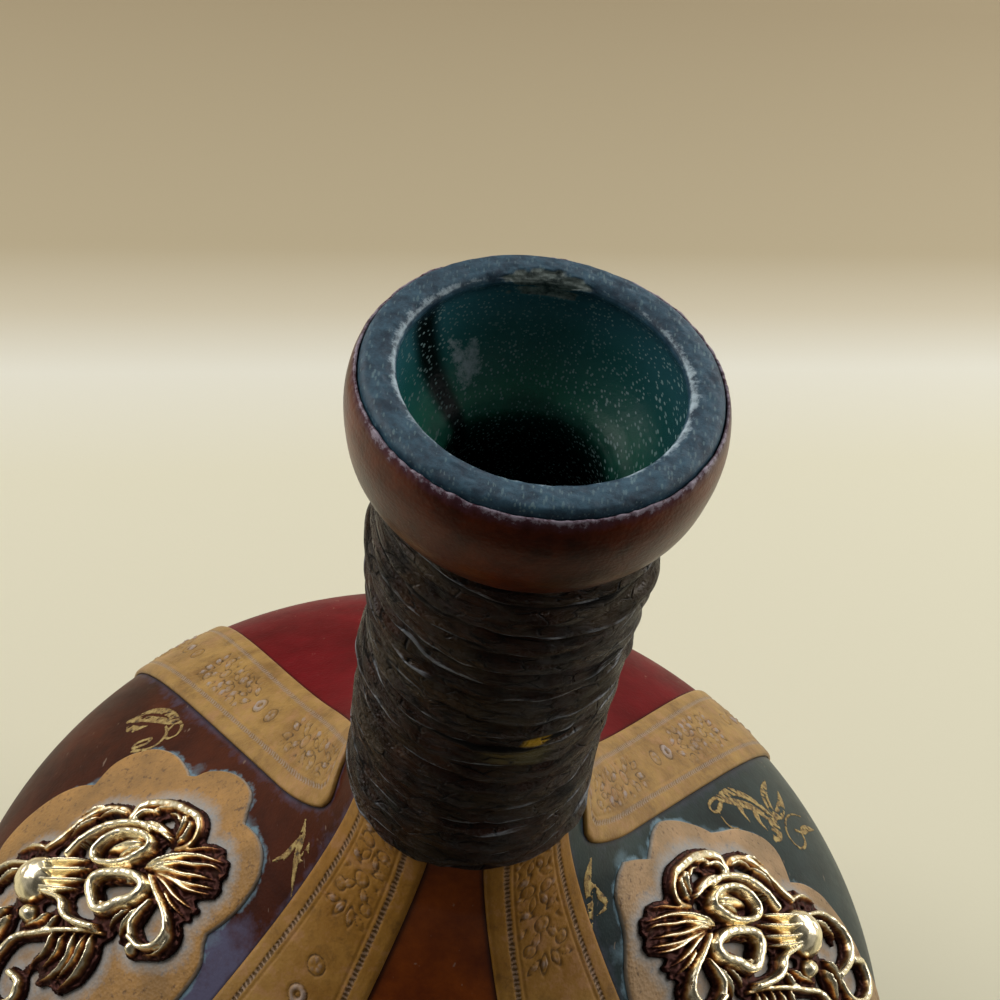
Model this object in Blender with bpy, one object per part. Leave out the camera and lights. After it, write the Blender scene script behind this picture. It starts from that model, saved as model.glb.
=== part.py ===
"""Leather-wrapped decanter.

A green glass bottle with a wide funnel mouth stands on a leather disc. Four leather panels are
glued round its body, four tooled straps cover the seams between them, and a scalloped patch with
a gilt cast mount sits on each side panel. A leather collar covers the lip, and a leather strip is
wound over a sleeve on the neck.

Metres, +Z up. The origin is the centre of the flat base. The front is -Y, the sides are +X and -X.
Angles round the axis are measured from the front, positive towards +X.
"""

import math

import bmesh
import bpy
import numpy as np

# Glass bottle
BODY_RADIUS = 0.085
SHOULDER_HEIGHT = 0.0815
SHOULDER_NECK_PULL = 0.035
SHOULDER_BELLY_PULL = 0.026
BELLY_DEPTH = 0.078
BELLY_PULL = 0.047
FOOT_RADIUS = 0.042
FOOT_PULL = 0.028
FOOT_SLOPE = math.radians(20)
NECK_RADIUS = 0.0138
NECK_LENGTH = 0.057
BORE_RADIUS = 0.00975
LIP_RADIUS = 0.0204
LIP_HEIGHT = 0.019
MOUTH_RADIUS = 0.0164
MOUTH_DEPTH = 0.0165
BODY_WALL = 0.0035
BASE_WALL = 0.006
PUNT_HEIGHT = 0.004

# Leather and fit
SEAT_GAP = 0.0003
SEAM_GAP = 0.0006
PANEL_THICKNESS = 0.0012
STRAP_THICKNESS = 0.0013
PATCH_THICKNESS = 0.0011
COLLAR_THICKNESS = 0.0012
COLLAR_DROP = 0.0009
SLEEVE_THICKNESS = 0.0018
BASE_DISC_RADIUS = 0.0455
BASE_DISC_THICKNESS = 0.003
BASE_DISC_CHAMFER = 0.0006
PANEL_END_RADIUS = 0.0475
STRAP_END_RADIUS = 0.052

# Neck winding
WRAP_STRIP_THICKNESS = 0.0016
WRAP_TURN_GAP = 0.0005
WRAP_TURNS = 17
WRAP_OVERLAP = 0.0065

# Straps: each edge is a straight line in plan, a direction and an offset from the bottle's axis
FRONT_STRAP_DIRECTION = math.radians(41)
FRONT_STRAP_INNER_OFFSET = -0.013
FRONT_STRAP_OUTER_OFFSET = 0.007
FRONT_FLARE_DIRECTION = math.radians(24)
FRONT_FLARE_OFFSET = -0.0025
BACK_STRAP_DIRECTION = math.radians(37.7)
BACK_STRAP_INNER_OFFSET = 0.002
BACK_STRAP_OUTER_OFFSET = 0.0194
BACK_STRAP_TURN_LIMIT = math.radians(98)

# Side ornaments, placed by their distance down the shoulder from the winding's lower edge
ORNAMENT_DIRECTION = math.radians(85.5)
PATCH_CENTRE_DROP = 0.0625
PATCH_FRONT_WIDTH = 0.0260
PATCH_BACK_WIDTH = 0.0225
PATCH_HALF_HEIGHT = 0.0375
PATCH_TAPER_SHARE = 0.25
PATCH_LOBE_DEPTH = 0.0022
PATCH_LOBES = 10
MOUNT_CENTRE_DROP = 0.0605
MOUNT_HALF_WIDTH = 0.0155
MOUNT_HALF_HEIGHT = 0.0290
MOUNT_TAPER_SHARE = 0.1
MOUNT_LOBE_DEPTH = 0.0016
MOUNT_LOBES = 8
MOUNT_EDGE_THICKNESS = 0.0016
MOUNT_RELIEF = 0.0026
MOUNT_BOSS_HEIGHT = 0.0024
MOUNT_BOSS_RADIUS = 0.0065
MOUNT_BOSS_DROP = 0.0105

# Fineness of the faceting
SMOOTH_ANGLE = math.radians(40)
GLASS_SEGMENTS = 32
RING_SEGMENTS = 36
SHOULDER_ROWS = 12
SHOULDER_CROWDING = 1.25
BELLY_ROWS = 7
INSIDE_ROWS = 12
SLEEVE_FLARE_ROWS = 4
ROW_MARGIN_SHARE = 0.25
CHORD_SHARE = 0.002
LINE_SAMPLES = 2001
LOOP_POINTS = 24
PATCH_RINGS = 4
PATCH_SPOKES = 40
MOUNT_RINGS = 5
MOUNT_SPOKES = 32

# Heights worked out from the sizes above
FOOT_LEVEL = BASE_DISC_THICKNESS + SEAT_GAP
EQUATOR_LEVEL = FOOT_LEVEL + BELLY_DEPTH
NECK_ROOT_LEVEL = EQUATOR_LEVEL + SHOULDER_HEIGHT
NECK_TOP_LEVEL = NECK_ROOT_LEVEL + NECK_LENGTH
LIP_LEVEL = NECK_TOP_LEVEL + LIP_HEIGHT
WRAP_END_LEVEL = NECK_ROOT_LEVEL - WRAP_OVERLAP

# Glass lip outside, top to bottom: share of the overhang past the neck, share of the lip's height
LIP_OUTLINE_SHARES = (
    (0.94, 0.0),
    (0.99, 0.03),
    (1.02, 0.12),
    (1.03, 0.25),
    (1.01, 0.42),
    (0.90, 0.60),
    (0.58, 0.76),
    (0.24, 0.88),
    (0.0, 1.0),
)
# Funnel mouth inside, top to bottom: share from bore to mouth radius, share of the mouth's depth
MOUTH_OUTLINE_SHARES = (
    (0.96, 0.0),
    (1.0, 0.03),
    (1.03, 0.15),
    (0.99, 0.38),
    (0.80, 0.60),
    (0.42, 0.80),
    (0.12, 0.93),
    (0.0, 1.05),
)
# Rows of the collar that lie on the lip's outline, counted from its top
COLLAR_LAST_ROW = 7
# Cross-section of the wound strip: share of its height down the neck, share of its thickness out
STRIP_SECTION_SHARES = (
    (-0.5, -0.5),
    (-0.5, 0.1),
    (-0.26, 0.5),
    (0.28, 0.42),
    (0.5, 0.0),
    (0.5, -0.5),
)


def clear_scene():
    """Removes every object, so that the script can be run again."""
    for scene_object in list(bpy.data.objects):
        bpy.data.objects.remove(scene_object, do_unlink=True)


def make_material(name, colour, roughness, metallic=0.0):
    """A Principled material with the finish's colour, roughness and metallic value."""
    material = bpy.data.materials.new(name)
    material.use_nodes = True
    shader = material.node_tree.nodes["Principled BSDF"]
    shader.inputs["Base Color"].default_value = (*colour, 1.0)
    shader.inputs["Roughness"].default_value = roughness
    shader.inputs["Metallic"].default_value = metallic
    material.diffuse_color = (*colour, 1.0)
    return material


def add_solid(name, points, faces, material):
    """Adds one closed solid, its faces turned outwards and shaded smooth up to a set angle."""
    mesh = bpy.data.meshes.new(name)
    mesh.from_pydata([tuple(map(float, point)) for point in points], [], faces)
    solid = bmesh.new()
    solid.from_mesh(mesh)
    bmesh.ops.recalc_face_normals(solid, faces=solid.faces)
    solid.to_mesh(mesh)
    solid.free()
    mesh.shade_smooth()
    mesh.set_sharp_from_angle(angle=SMOOTH_ANGLE)
    mesh.materials.append(material)
    new_object = bpy.data.objects.new(name, mesh)
    bpy.context.scene.collection.objects.link(new_object)
    return new_object


def place_round(radius, height, angle):
    """Points at a radius, a height and an angle from the front."""
    return np.stack([radius * np.sin(angle), -radius * np.cos(angle), height + 0 * angle], axis=-1)


def turned_solid(name, outline, segments, material, closed):
    """Turns an outline of (radius, height) points about the axis.

    A closed outline gives a ring. An open one starts and ends on the axis, where it gets a pole.
    """
    outline = np.array(outline)
    angles = np.arange(segments) * math.tau / segments
    rows = outline if closed else outline[1:-1]
    points = place_round(rows[:, :1], rows[:, 1:], angles[None, :]).reshape(-1, 3)
    points = [tuple(point) for point in points]
    count = len(rows)
    faces = []
    for row in range(count if closed else count - 1):
        following = (row + 1) % count
        for column in range(segments):
            beside = (column + 1) % segments
            faces.append((
                row * segments + column,
                row * segments + beside,
                following * segments + beside,
                following * segments + column,
            ))
    if not closed:
        for pole, row in ((outline[0], 0), (outline[-1], count - 1)):
            points.append((0.0, 0.0, pole[1]))
            for column in range(segments):
                beside = (column + 1) % segments
                faces.append((row * segments + column, row * segments + beside, len(points) - 1))
    return add_solid(name, points, faces, material)


def sheet_solid(name, inner, outer, material):
    """Closes two grids of points, an inner and an outer skin, into one thin solid."""
    rows, columns = inner.shape[:2]
    points = np.concatenate([inner.reshape(-1, 3), outer.reshape(-1, 3)])
    index = np.arange(rows * columns).reshape(rows, columns)
    faces = []
    for shift in (0, rows * columns):
        grid = index + shift
        corners = (grid[:-1, :-1], grid[:-1, 1:], grid[1:, 1:], grid[1:, :-1])
        faces.extend(zip(*(corner.ravel().tolist() for corner in corners)))
    border = np.concatenate([index[0, :-1], index[:-1, -1], index[-1, :0:-1], index[:0:-1, 0]])
    border = border.tolist()
    for here, there in zip(border, border[1:] + border[:1]):
        faces.append((here, there, there + rows * columns, here + rows * columns))
    return add_solid(name, points, faces, material)


def round_sheet_solid(name, inner, outer, material):
    """Closes two grids of rings round a centre, ring 0 being the centre point, into one solid."""
    rings, spokes = inner.shape[:2]
    points = []
    faces = []
    for skin in (inner, outer):
        start = len(points)
        points.append(tuple(skin[0, 0]))
        points.extend(tuple(point) for point in skin[1:].reshape(-1, 3))
        for spoke in range(spokes):
            beside = (spoke + 1) % spokes
            faces.append((start, start + 1 + spoke, start + 1 + beside))
            for ring in range(rings - 2):
                low = start + 1 + ring * spokes
                high = low + spokes
                faces.append((low + spoke, high + spoke, high + beside, low + beside))
    rim = 1 + (rings - 2) * spokes
    skin_size = 1 + (rings - 1) * spokes
    for spoke in range(spokes):
        beside = (spoke + 1) % spokes
        faces.append((
            rim + spoke,
            rim + beside,
            skin_size + rim + beside,
            skin_size + rim + spoke,
        ))
    return add_solid(name, points, faces, material)


def cubic(controls, share):
    """Point and direction of a cubic Bezier curve at a share of its run."""
    first, second, third, fourth = (np.array(control)[None, :] for control in controls)
    share = np.atleast_1d(share)[:, None]
    rest = 1 - share
    point = rest**3 * first + 3 * rest**2 * share * second
    point = point + 3 * rest * share**2 * third + share**3 * fourth
    step = rest**2 * (second - first) + 2 * rest * share * (third - second)
    step = step + share**2 * (fourth - third)
    return point, step


SHOULDER_CONTROLS = (
    (NECK_RADIUS, NECK_ROOT_LEVEL),
    (NECK_RADIUS, NECK_ROOT_LEVEL - SHOULDER_NECK_PULL),
    (BODY_RADIUS, EQUATOR_LEVEL + SHOULDER_BELLY_PULL),
    (BODY_RADIUS, EQUATOR_LEVEL),
)
BELLY_CONTROLS = (
    (BODY_RADIUS, EQUATOR_LEVEL),
    (BODY_RADIUS, EQUATOR_LEVEL - BELLY_PULL),
    (
        FOOT_RADIUS + FOOT_PULL * math.cos(FOOT_SLOPE),
        FOOT_LEVEL + FOOT_PULL * math.sin(FOOT_SLOPE),
    ),
    (FOOT_RADIUS, FOOT_LEVEL),
)


def body_line(run, offset=0.0):
    """The glass body's outline from the neck root (run 0) past the equator (1) to the foot (2).

    Returns radius and height, moved outwards along the surface's normal by the offset.
    """
    run = np.atleast_1d(np.asarray(run, float))
    upper, upper_step = cubic(SHOULDER_CONTROLS, np.clip(run, 0, 1))
    lower, lower_step = cubic(BELLY_CONTROLS, np.clip(run - 1, 0, 1))
    above = (run <= 1)[:, None]
    point = np.where(above, upper, lower)
    step = np.where(above, upper_step, lower_step)
    step = step / np.linalg.norm(step, axis=1)[:, None]
    return point[:, 0] - step[:, 1] * offset, point[:, 1] + step[:, 0] * offset


LINE_RUNS = np.linspace(0, 2, LINE_SAMPLES)
LINE_RADII, LINE_HEIGHTS = body_line(LINE_RUNS)
LINE_LENGTHS = np.concatenate([
    [0.0],
    np.cumsum(np.hypot(np.diff(LINE_RADII), np.diff(LINE_HEIGHTS))),
])
WRAP_END_LENGTH = np.interp(-WRAP_END_LEVEL, -LINE_HEIGHTS, LINE_LENGTHS)
COMMON_RUNS = np.concatenate([
    np.linspace(0, 1, SHOULDER_ROWS + 1) ** SHOULDER_CROWDING,
    1 + np.linspace(0, 1, BELLY_ROWS + 1)[1:],
])


def run_at_level(level, offset):
    """Run at which the offset outline comes down to a level."""
    heights = body_line(LINE_RUNS, offset)[1]
    return float(np.interp(-level, -heights, LINE_RUNS))


def run_at_foot_radius(radius):
    """Run on the belly at which the glass has drawn in to a radius."""
    lower = LINE_RUNS >= 1
    return float(np.interp(-radius, -LINE_RADII[lower], LINE_RUNS[lower]))


def rows_between(start, end):
    """The runs of a piece's rows: its two ends and the common rows that lie between them."""
    margin = ROW_MARGIN_SHARE * (end - start) / len(COMMON_RUNS)
    inside = COMMON_RUNS[(COMMON_RUNS > start + margin) & (COMMON_RUNS < end - margin)]
    return np.concatenate([[start], inside, [end]])


def line_angle(direction, offset, radius):
    """Angle at which a straight line in plan crosses a circle round the axis."""
    return direction + np.arcsin(np.clip(offset / radius, -1, 1))


def front_strap_edges(radius):
    """Inner and outer edge angles of the front strap on the +X side.

    Up to where the two inner lines cross, the strap flares from the neck, and then runs parallel.
    """
    flare = line_angle(FRONT_FLARE_DIRECTION, FRONT_FLARE_OFFSET, radius)
    parallel = line_angle(FRONT_STRAP_DIRECTION, FRONT_STRAP_INNER_OFFSET, radius)
    outer = line_angle(FRONT_STRAP_DIRECTION, FRONT_STRAP_OUTER_OFFSET, radius)
    return np.maximum(flare, parallel), outer


def back_strap_edges(radius):
    """Edge angles, nearer the front first, of the back strap on the +X side."""
    inner = line_angle(BACK_STRAP_DIRECTION, BACK_STRAP_INNER_OFFSET, radius)
    outer = line_angle(BACK_STRAP_DIRECTION, BACK_STRAP_OUTER_OFFSET, radius)
    return math.pi - np.minimum(outer, BACK_STRAP_TURN_LIMIT), math.pi - inner


def seam_angle(edges, radius):
    """Angle of the seam between two panels, midway under the strap that covers it."""
    near, far = edges(radius)
    return (near + far) / 2


def skin_grid(runs, left, right, columns, offset):
    """Grid of points at an offset from the glass, between two edge angles given per row."""
    radius, height = body_line(runs, offset)
    share = np.linspace(0, 1, columns)[None, :]
    angle = left[:, None] * (1 - share) + right[:, None] * share
    return place_round(radius[:, None], height[:, None], angle)


def skin_piece(name, edges, start_offset, thickness, end_radius, material):
    """One leather piece on the body, from the winding's lower edge to under the belly.

    edges gives the left and right edge angles at a plan radius.
    """
    end_offset = start_offset + thickness
    start = run_at_level(WRAP_END_LEVEL - SEAT_GAP, end_offset)
    runs = rows_between(start, run_at_foot_radius(end_radius))
    radius = body_line(runs)[0]
    left, right = edges(radius)
    facet = 2 * np.arccos(1 - CHORD_SHARE * BODY_RADIUS / radius)
    columns = 1 + max(2, math.ceil(float(np.max((right - left) / facet))))
    inner = skin_grid(runs, left, right, columns, start_offset)
    outer = skin_grid(runs, left, right, columns, end_offset)
    return sheet_solid(name, inner, outer, material)


def make_glass(material):
    """The blown bottle: lip, neck, onion body with a shallow punt, and the hollow inside."""
    overhang = LIP_RADIUS - NECK_RADIUS
    lip = [
        (NECK_RADIUS + overhang * out, LIP_LEVEL - LIP_HEIGHT * down)
        for out, down in LIP_OUTLINE_SHARES
    ]
    body = list(zip(*body_line(COMMON_RUNS)))
    funnel_width = MOUTH_RADIUS - BORE_RADIUS
    mouth = [
        (BORE_RADIUS + funnel_width * out, LIP_LEVEL - MOUTH_DEPTH * down)
        for out, down in MOUTH_OUTLINE_SHARES
    ]
    floor_level = FOOT_LEVEL + BASE_WALL
    inside_runs = np.linspace(0, run_at_level(floor_level, -BODY_WALL), INSIDE_ROWS + 1)[1:]
    inside = list(zip(*body_line(inside_runs, -BODY_WALL)))
    foot = [(0.0, FOOT_LEVEL + PUNT_HEIGHT), (FOOT_RADIUS - BASE_WALL, FOOT_LEVEL)]
    bore_end = [(BORE_RADIUS, NECK_ROOT_LEVEL)]
    floor_centre = [(0.0, floor_level + PUNT_HEIGHT)]
    outline = foot + body[::-1] + lip[::-1] + mouth + bore_end + inside + floor_centre
    return turned_solid("glass_bottle", outline, GLASS_SEGMENTS, material, closed=False)


def make_collar(material):
    """Leather worked over the outside of the lip, from just under its rim to the neck."""
    overhang = LIP_RADIUS - NECK_RADIUS
    shares = np.array(LIP_OUTLINE_SHARES[1:COLLAR_LAST_ROW + 1])
    radius = NECK_RADIUS + overhang * shares[:, 0]
    height = LIP_LEVEL - LIP_HEIGHT * shares[:, 1]
    height[0] = LIP_LEVEL - COLLAR_DROP
    step = np.stack([np.gradient(radius), np.gradient(height)], axis=1)
    step = step / np.linalg.norm(step, axis=1)[:, None]
    out = np.stack([-step[:, 1], step[:, 0]], axis=1)
    line = np.stack([radius, height], axis=1)
    inner = line + out * SEAT_GAP
    outer = line + out * (SEAT_GAP + COLLAR_THICKNESS)
    turned_solid("lip_collar", list(outer) + list(inner[::-1]), RING_SEGMENTS, material, closed=True)
    return float(outer[:, 1].min())


def neck_line(level, offset):
    """Radius at an offset outside the neck, or outside the shoulder below the neck's root."""
    radii, heights = body_line(LINE_RUNS, offset)
    below = np.interp(-level, -heights, radii)
    return np.where(level >= NECK_ROOT_LEVEL, NECK_RADIUS + offset, below)


def make_sleeve(material):
    """Plain leather sleeve on the glass neck, the core that the strip is wound on."""
    levels = np.concatenate([
        [NECK_TOP_LEVEL - SEAT_GAP, NECK_ROOT_LEVEL],
        np.linspace(NECK_ROOT_LEVEL, WRAP_END_LEVEL, SLEEVE_FLARE_ROWS)[1:],
    ])
    inner = list(zip(neck_line(levels, SEAT_GAP), levels))
    outer = list(zip(neck_line(levels, SEAT_GAP + SLEEVE_THICKNESS), levels))
    turned_solid("neck_sleeve", outer + inner[::-1], RING_SEGMENTS, material, closed=True)


def least_gap(sections, points_per_turn):
    """Least distance between points of the strip that lie half a turn or more apart along it."""
    flat = sections.reshape(-1, 3)
    turn = np.repeat(np.arange(len(sections)), sections.shape[1])
    least = math.inf
    for place, point in zip(turn, flat):
        other = flat[np.abs(turn - place) > points_per_turn / 2]
        least = min(least, float(np.linalg.norm(other - point, axis=1).min()))
    return least


def make_winding(collar_level, material):
    """One unbroken strip wound round the sleeve, its ends straight for one strip height."""
    top = collar_level - SEAT_GAP
    length = top - WRAP_END_LEVEL
    pitch = (length + WRAP_TURN_GAP) / (WRAP_TURNS + 1)
    strip_height = pitch - WRAP_TURN_GAP
    offset = 2 * SEAT_GAP + SLEEVE_THICKNESS + WRAP_STRIP_THICKNESS / 2
    steps = np.arange(WRAP_TURNS * LOOP_POINTS + 1) / LOOP_POINTS
    angle = steps * math.tau
    level = top - strip_height / 2 - steps * pitch
    radius = neck_line(level - strip_height / 2, offset)
    path = place_round(radius, level, angle)
    outward = place_round(np.ones_like(angle), np.zeros_like(angle), angle)
    for end, inner in ((0, 1), (-1, -2)):
        along = np.cross(outward[end], (0.0, 0.0, 1.0))
        if np.dot(along, path[inner] - path[end]) > 0:
            along = -along
        extra = (path[end] + along * strip_height)[None, :]
        same = outward[end][None, :]
        if end == 0:
            path = np.concatenate([extra, path])
            outward = np.concatenate([same, outward])
        else:
            path = np.concatenate([path, extra])
            outward = np.concatenate([outward, same])
    down = np.array([0.0, 0.0, -1.0])
    shares = np.array(STRIP_SECTION_SHARES)
    lowering = shares[:, 0, None] * strip_height * down
    lift = shares[:, 1] * WRAP_STRIP_THICKNESS
    sections = path[:, None, :] + lowering[None] + outward[:, None, :] * lift[None, :, None]
    print(f"neck_wrap: least gap to itself {least_gap(sections, LOOP_POINTS):.6f} m")
    count, corners = sections.shape[:2]
    faces = []
    for place in range(count - 1):
        for corner in range(corners):
            beside = (corner + 1) % corners
            faces.append((
                place * corners + corner,
                place * corners + beside,
                (place + 1) * corners + beside,
                (place + 1) * corners + corner,
            ))
    faces.append(tuple(range(corners)))
    faces.append(tuple(range((count - 1) * corners, count * corners)))
    add_solid("neck_wrap", sections.reshape(-1, 3), faces, material)


def make_panels(materials):
    """Four panels glued round the glass, each running from seam to seam under the straps."""
    def seams(left, right):
        def edges(radius):
            margin = SEAM_GAP / 2 / radius
            return left(radius) + margin, right(radius) - margin
        return edges

    def front(radius):
        return seam_angle(front_strap_edges, radius)

    def back(radius):
        return seam_angle(back_strap_edges, radius)

    spans = {
        "panel_front": seams(lambda radius: -front(radius), front),
        "panel_right": seams(front, back),
        "panel_back": seams(back, lambda radius: math.tau - back(radius)),
        "panel_left": seams(lambda radius: -back(radius), lambda radius: -front(radius)),
    }
    for name, edges in spans.items():
        skin_piece(name, edges, SEAT_GAP, PANEL_THICKNESS, PANEL_END_RADIUS, materials[name])


def make_straps(material):
    """Four tooled straps laid over the panels' seams."""
    offset = 2 * SEAT_GAP + PANEL_THICKNESS
    for end, edges in (("front", front_strap_edges), ("back", back_strap_edges)):
        def mirrored(radius, edges=edges):
            near, far = edges(radius)
            return -far, -near
        for side, spans in (("right", edges), ("left", mirrored)):
            name = f"strap_{end}_{side}"
            skin_piece(name, spans, offset, STRAP_THICKNESS, STRAP_END_RADIUS, material)


def ornament_grid(centre_drop, across, down, side, offset):
    """Points on the side of the body at a distance across and down from an ornament's centre.

    Positive across is away from the front. The offset is one value, or one for each point.
    """
    run = np.interp(WRAP_END_LENGTH + centre_drop + down, LINE_LENGTHS, LINE_RUNS).ravel()
    radius, height = body_line(run, np.broadcast_to(offset, across.shape).ravel())
    angle = side * (ORNAMENT_DIRECTION + across.ravel() / body_line(run)[0])
    return place_round(radius, height, angle).reshape(across.shape + (3,))


def lobed_outline(widths, half_height, taper, lobe_depth, lobes, spokes, rings):
    """Rings of an egg shape with a scalloped edge, narrower towards the neck by its taper.

    widths are its half widths towards the front and the back. Returns the places across and down,
    and the share of the way out to the edge.
    """
    angle = np.arange(spokes) * math.tau / spokes
    scallop = lobe_depth * (np.abs(np.cos(lobes * angle / 2)) - 1)
    half_width = np.where(np.sin(angle) < 0, *widths) * (1 + taper * np.cos(angle))
    share = np.linspace(0, 1, rings + 1)[:, None]
    across = share * ((half_width + scallop) * np.sin(angle))[None, :]
    down = share * ((half_height + scallop) * np.cos(angle))[None, :]
    return across, down, share


def make_patches(material):
    """The scalloped leather patch on each side panel."""
    across, down, _ = lobed_outline(
        (PATCH_FRONT_WIDTH, PATCH_BACK_WIDTH),
        PATCH_HALF_HEIGHT,
        PATCH_TAPER_SHARE,
        PATCH_LOBE_DEPTH,
        PATCH_LOBES,
        PATCH_SPOKES,
        PATCH_RINGS,
    )
    start = 2 * SEAT_GAP + PANEL_THICKNESS
    for name, side in (("patch_right", 1), ("patch_left", -1)):
        inner = ornament_grid(PATCH_CENTRE_DROP, across, down, side, start)
        outer = ornament_grid(PATCH_CENTRE_DROP, across, down, side, start + PATCH_THICKNESS)
        round_sheet_solid(name, inner, outer, material)


def make_mounts(material):
    """The cast mount on each patch: a lobed plate in relief with a round boss below its middle."""
    across, down, share = lobed_outline(
        (MOUNT_HALF_WIDTH, MOUNT_HALF_WIDTH),
        MOUNT_HALF_HEIGHT,
        MOUNT_TAPER_SHARE,
        MOUNT_LOBE_DEPTH,
        MOUNT_LOBES,
        MOUNT_SPOKES,
        MOUNT_RINGS,
    )
    start = 3 * SEAT_GAP + PANEL_THICKNESS + PATCH_THICKNESS
    relief = MOUNT_RELIEF * (1 - share**2)
    from_boss = np.hypot(across, down - MOUNT_BOSS_DROP) / MOUNT_BOSS_RADIUS
    boss = MOUNT_BOSS_HEIGHT * np.sqrt(np.clip(1 - from_boss**2, 0, 1))
    top = start + MOUNT_EDGE_THICKNESS + relief + boss
    for name, side in (("gilt_mount_right", 1), ("gilt_mount_left", -1)):
        inner = ornament_grid(MOUNT_CENTRE_DROP, across, down, side, start)
        outer = ornament_grid(MOUNT_CENTRE_DROP, across, down, side, top)
        round_sheet_solid(name, inner, outer, material)


def make_base_disc(material):
    """Leather disc under the foot, with a small chamfer round its lower edge."""
    outline = (
        (0.0, 0.0),
        (BASE_DISC_RADIUS - BASE_DISC_CHAMFER, 0.0),
        (BASE_DISC_RADIUS, BASE_DISC_CHAMFER),
        (BASE_DISC_RADIUS, BASE_DISC_THICKNESS),
        (0.0, BASE_DISC_THICKNESS),
    )
    turned_solid("base_disc", outline, RING_SEGMENTS, material, closed=False)


clear_scene()

green_glass = make_material("green_glass", (0.015, 0.06, 0.045), 0.18)
collar_leather = make_material("collar_leather", (0.12, 0.03, 0.02), 0.38)
wrap_leather = make_material("wrap_leather", (0.04, 0.025, 0.02), 0.5)
strap_leather = make_material("strap_leather", (0.42, 0.22, 0.06), 0.5)
patch_leather = make_material("patch_leather", (0.34, 0.19, 0.09), 0.55)
base_leather = make_material("base_leather", (0.07, 0.04, 0.025), 0.7)
gilt_metal = make_material("gilt_metal", (0.62, 0.4, 0.1), 0.28, 1.0)
panel_leathers = {
    "panel_front": make_material("panel_leather_red_brown", (0.09, 0.025, 0.015), 0.45),
    "panel_right": make_material("panel_leather_green", (0.02, 0.05, 0.035), 0.45),
    "panel_back": make_material("panel_leather_red", (0.15, 0.008, 0.02), 0.45),
    "panel_left": make_material("panel_leather_brown", (0.09, 0.035, 0.02), 0.45),
}

make_base_disc(base_leather)
make_glass(green_glass)
make_panels(panel_leathers)
make_straps(strap_leather)
make_patches(patch_leather)
make_mounts(gilt_metal)
collar_end_level = make_collar(collar_leather)
make_sleeve(wrap_leather)
make_winding(collar_end_level, wrap_leather)
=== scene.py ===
import bpy
import numpy as np
from mathutils import Matrix


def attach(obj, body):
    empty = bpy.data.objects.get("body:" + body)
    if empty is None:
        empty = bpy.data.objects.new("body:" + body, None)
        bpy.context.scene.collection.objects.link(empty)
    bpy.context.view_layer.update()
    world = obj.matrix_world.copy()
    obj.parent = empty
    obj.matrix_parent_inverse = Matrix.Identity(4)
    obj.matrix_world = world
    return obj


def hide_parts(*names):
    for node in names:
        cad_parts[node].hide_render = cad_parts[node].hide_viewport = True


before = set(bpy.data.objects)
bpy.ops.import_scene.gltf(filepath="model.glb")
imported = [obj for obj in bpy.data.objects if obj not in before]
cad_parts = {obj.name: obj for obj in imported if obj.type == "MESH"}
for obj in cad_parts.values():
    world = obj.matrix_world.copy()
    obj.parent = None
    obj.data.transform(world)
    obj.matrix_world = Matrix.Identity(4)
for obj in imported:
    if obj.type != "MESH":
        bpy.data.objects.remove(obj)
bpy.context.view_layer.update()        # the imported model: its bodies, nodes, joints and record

# The glass bottle: thick green-black glass, blown with an onion body, a straight neck and a wide
# funnel mouth. Only the mouth shows. Its cut rim is dull, chipped at the back and white with dust.

MM = 0.001


def linear(colour):
    """An sRGB hex colour as linear red, green and blue, with an alpha of 1."""
    parts = np.array([int(colour[place:place + 2], 16) for place in (1, 3, 5)]) / 255
    parts = np.where(parts <= 0.04045, parts / 12.92, ((parts + 0.055) / 1.055) ** 2.4)
    return (*map(float, parts), 1.0)


def new_material(name):
    """An empty node material."""
    material = bpy.data.materials.new(name)
    material.use_nodes = True
    material.node_tree.nodes.clear()
    return material


def add_node(material, kind, inputs=None, output=None, stops=(), **settings):
    """Adds a node with its settings, fills its inputs and returns its first or its named output.

    An input takes a value or another node's output. stops are a colour ramp's places and colours.
    """
    node = material.node_tree.nodes.new(kind)
    for setting, value in settings.items():
        setattr(node, setting, value)
    for place, (position, colour) in enumerate(stops):
        if place > 1:
            node.color_ramp.elements.new(position)
        node.color_ramp.elements[place].position = position
        node.color_ramp.elements[place].color = colour
    for key, value in (inputs or {}).items():
        live = [socket for socket in node.inputs if socket.enabled]
        socket = live[key] if isinstance(key, int) else next(s for s in live if s.name == key)
        if isinstance(value, bpy.types.NodeSocket):
            material.node_tree.links.new(value, socket)
        else:
            socket.default_value = value
    live = [socket for socket in node.outputs if socket.enabled]
    return next((socket for socket in live if socket.name == output), live[0] if live else None)


def finish_material(material, colour, roughness, height, depth, layers=(), **shader_inputs):
    """Ends a material: its colour with its layers, its roughness and a bump of a depth in mm.

    Each layer is a mask and the colour that it lays over the ones before.
    """
    for mask, tone in layers:
        colour = add_node(material, "ShaderNodeMix", {"Factor": mask, "A": colour, "B": tone},
                          data_type="RGBA")
    bump = add_node(material, "ShaderNodeBump", {"Height": height, "Distance": depth * MM})
    inputs = {"Base Color": colour, "Roughness": roughness, "Normal": bump}
    inputs.update({key.replace("_", " "): value for key, value in shader_inputs.items()})
    shader = add_node(material, "ShaderNodeBsdfPrincipled", inputs)
    add_node(material, "ShaderNodeOutputMaterial", {"Surface": shader})


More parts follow.
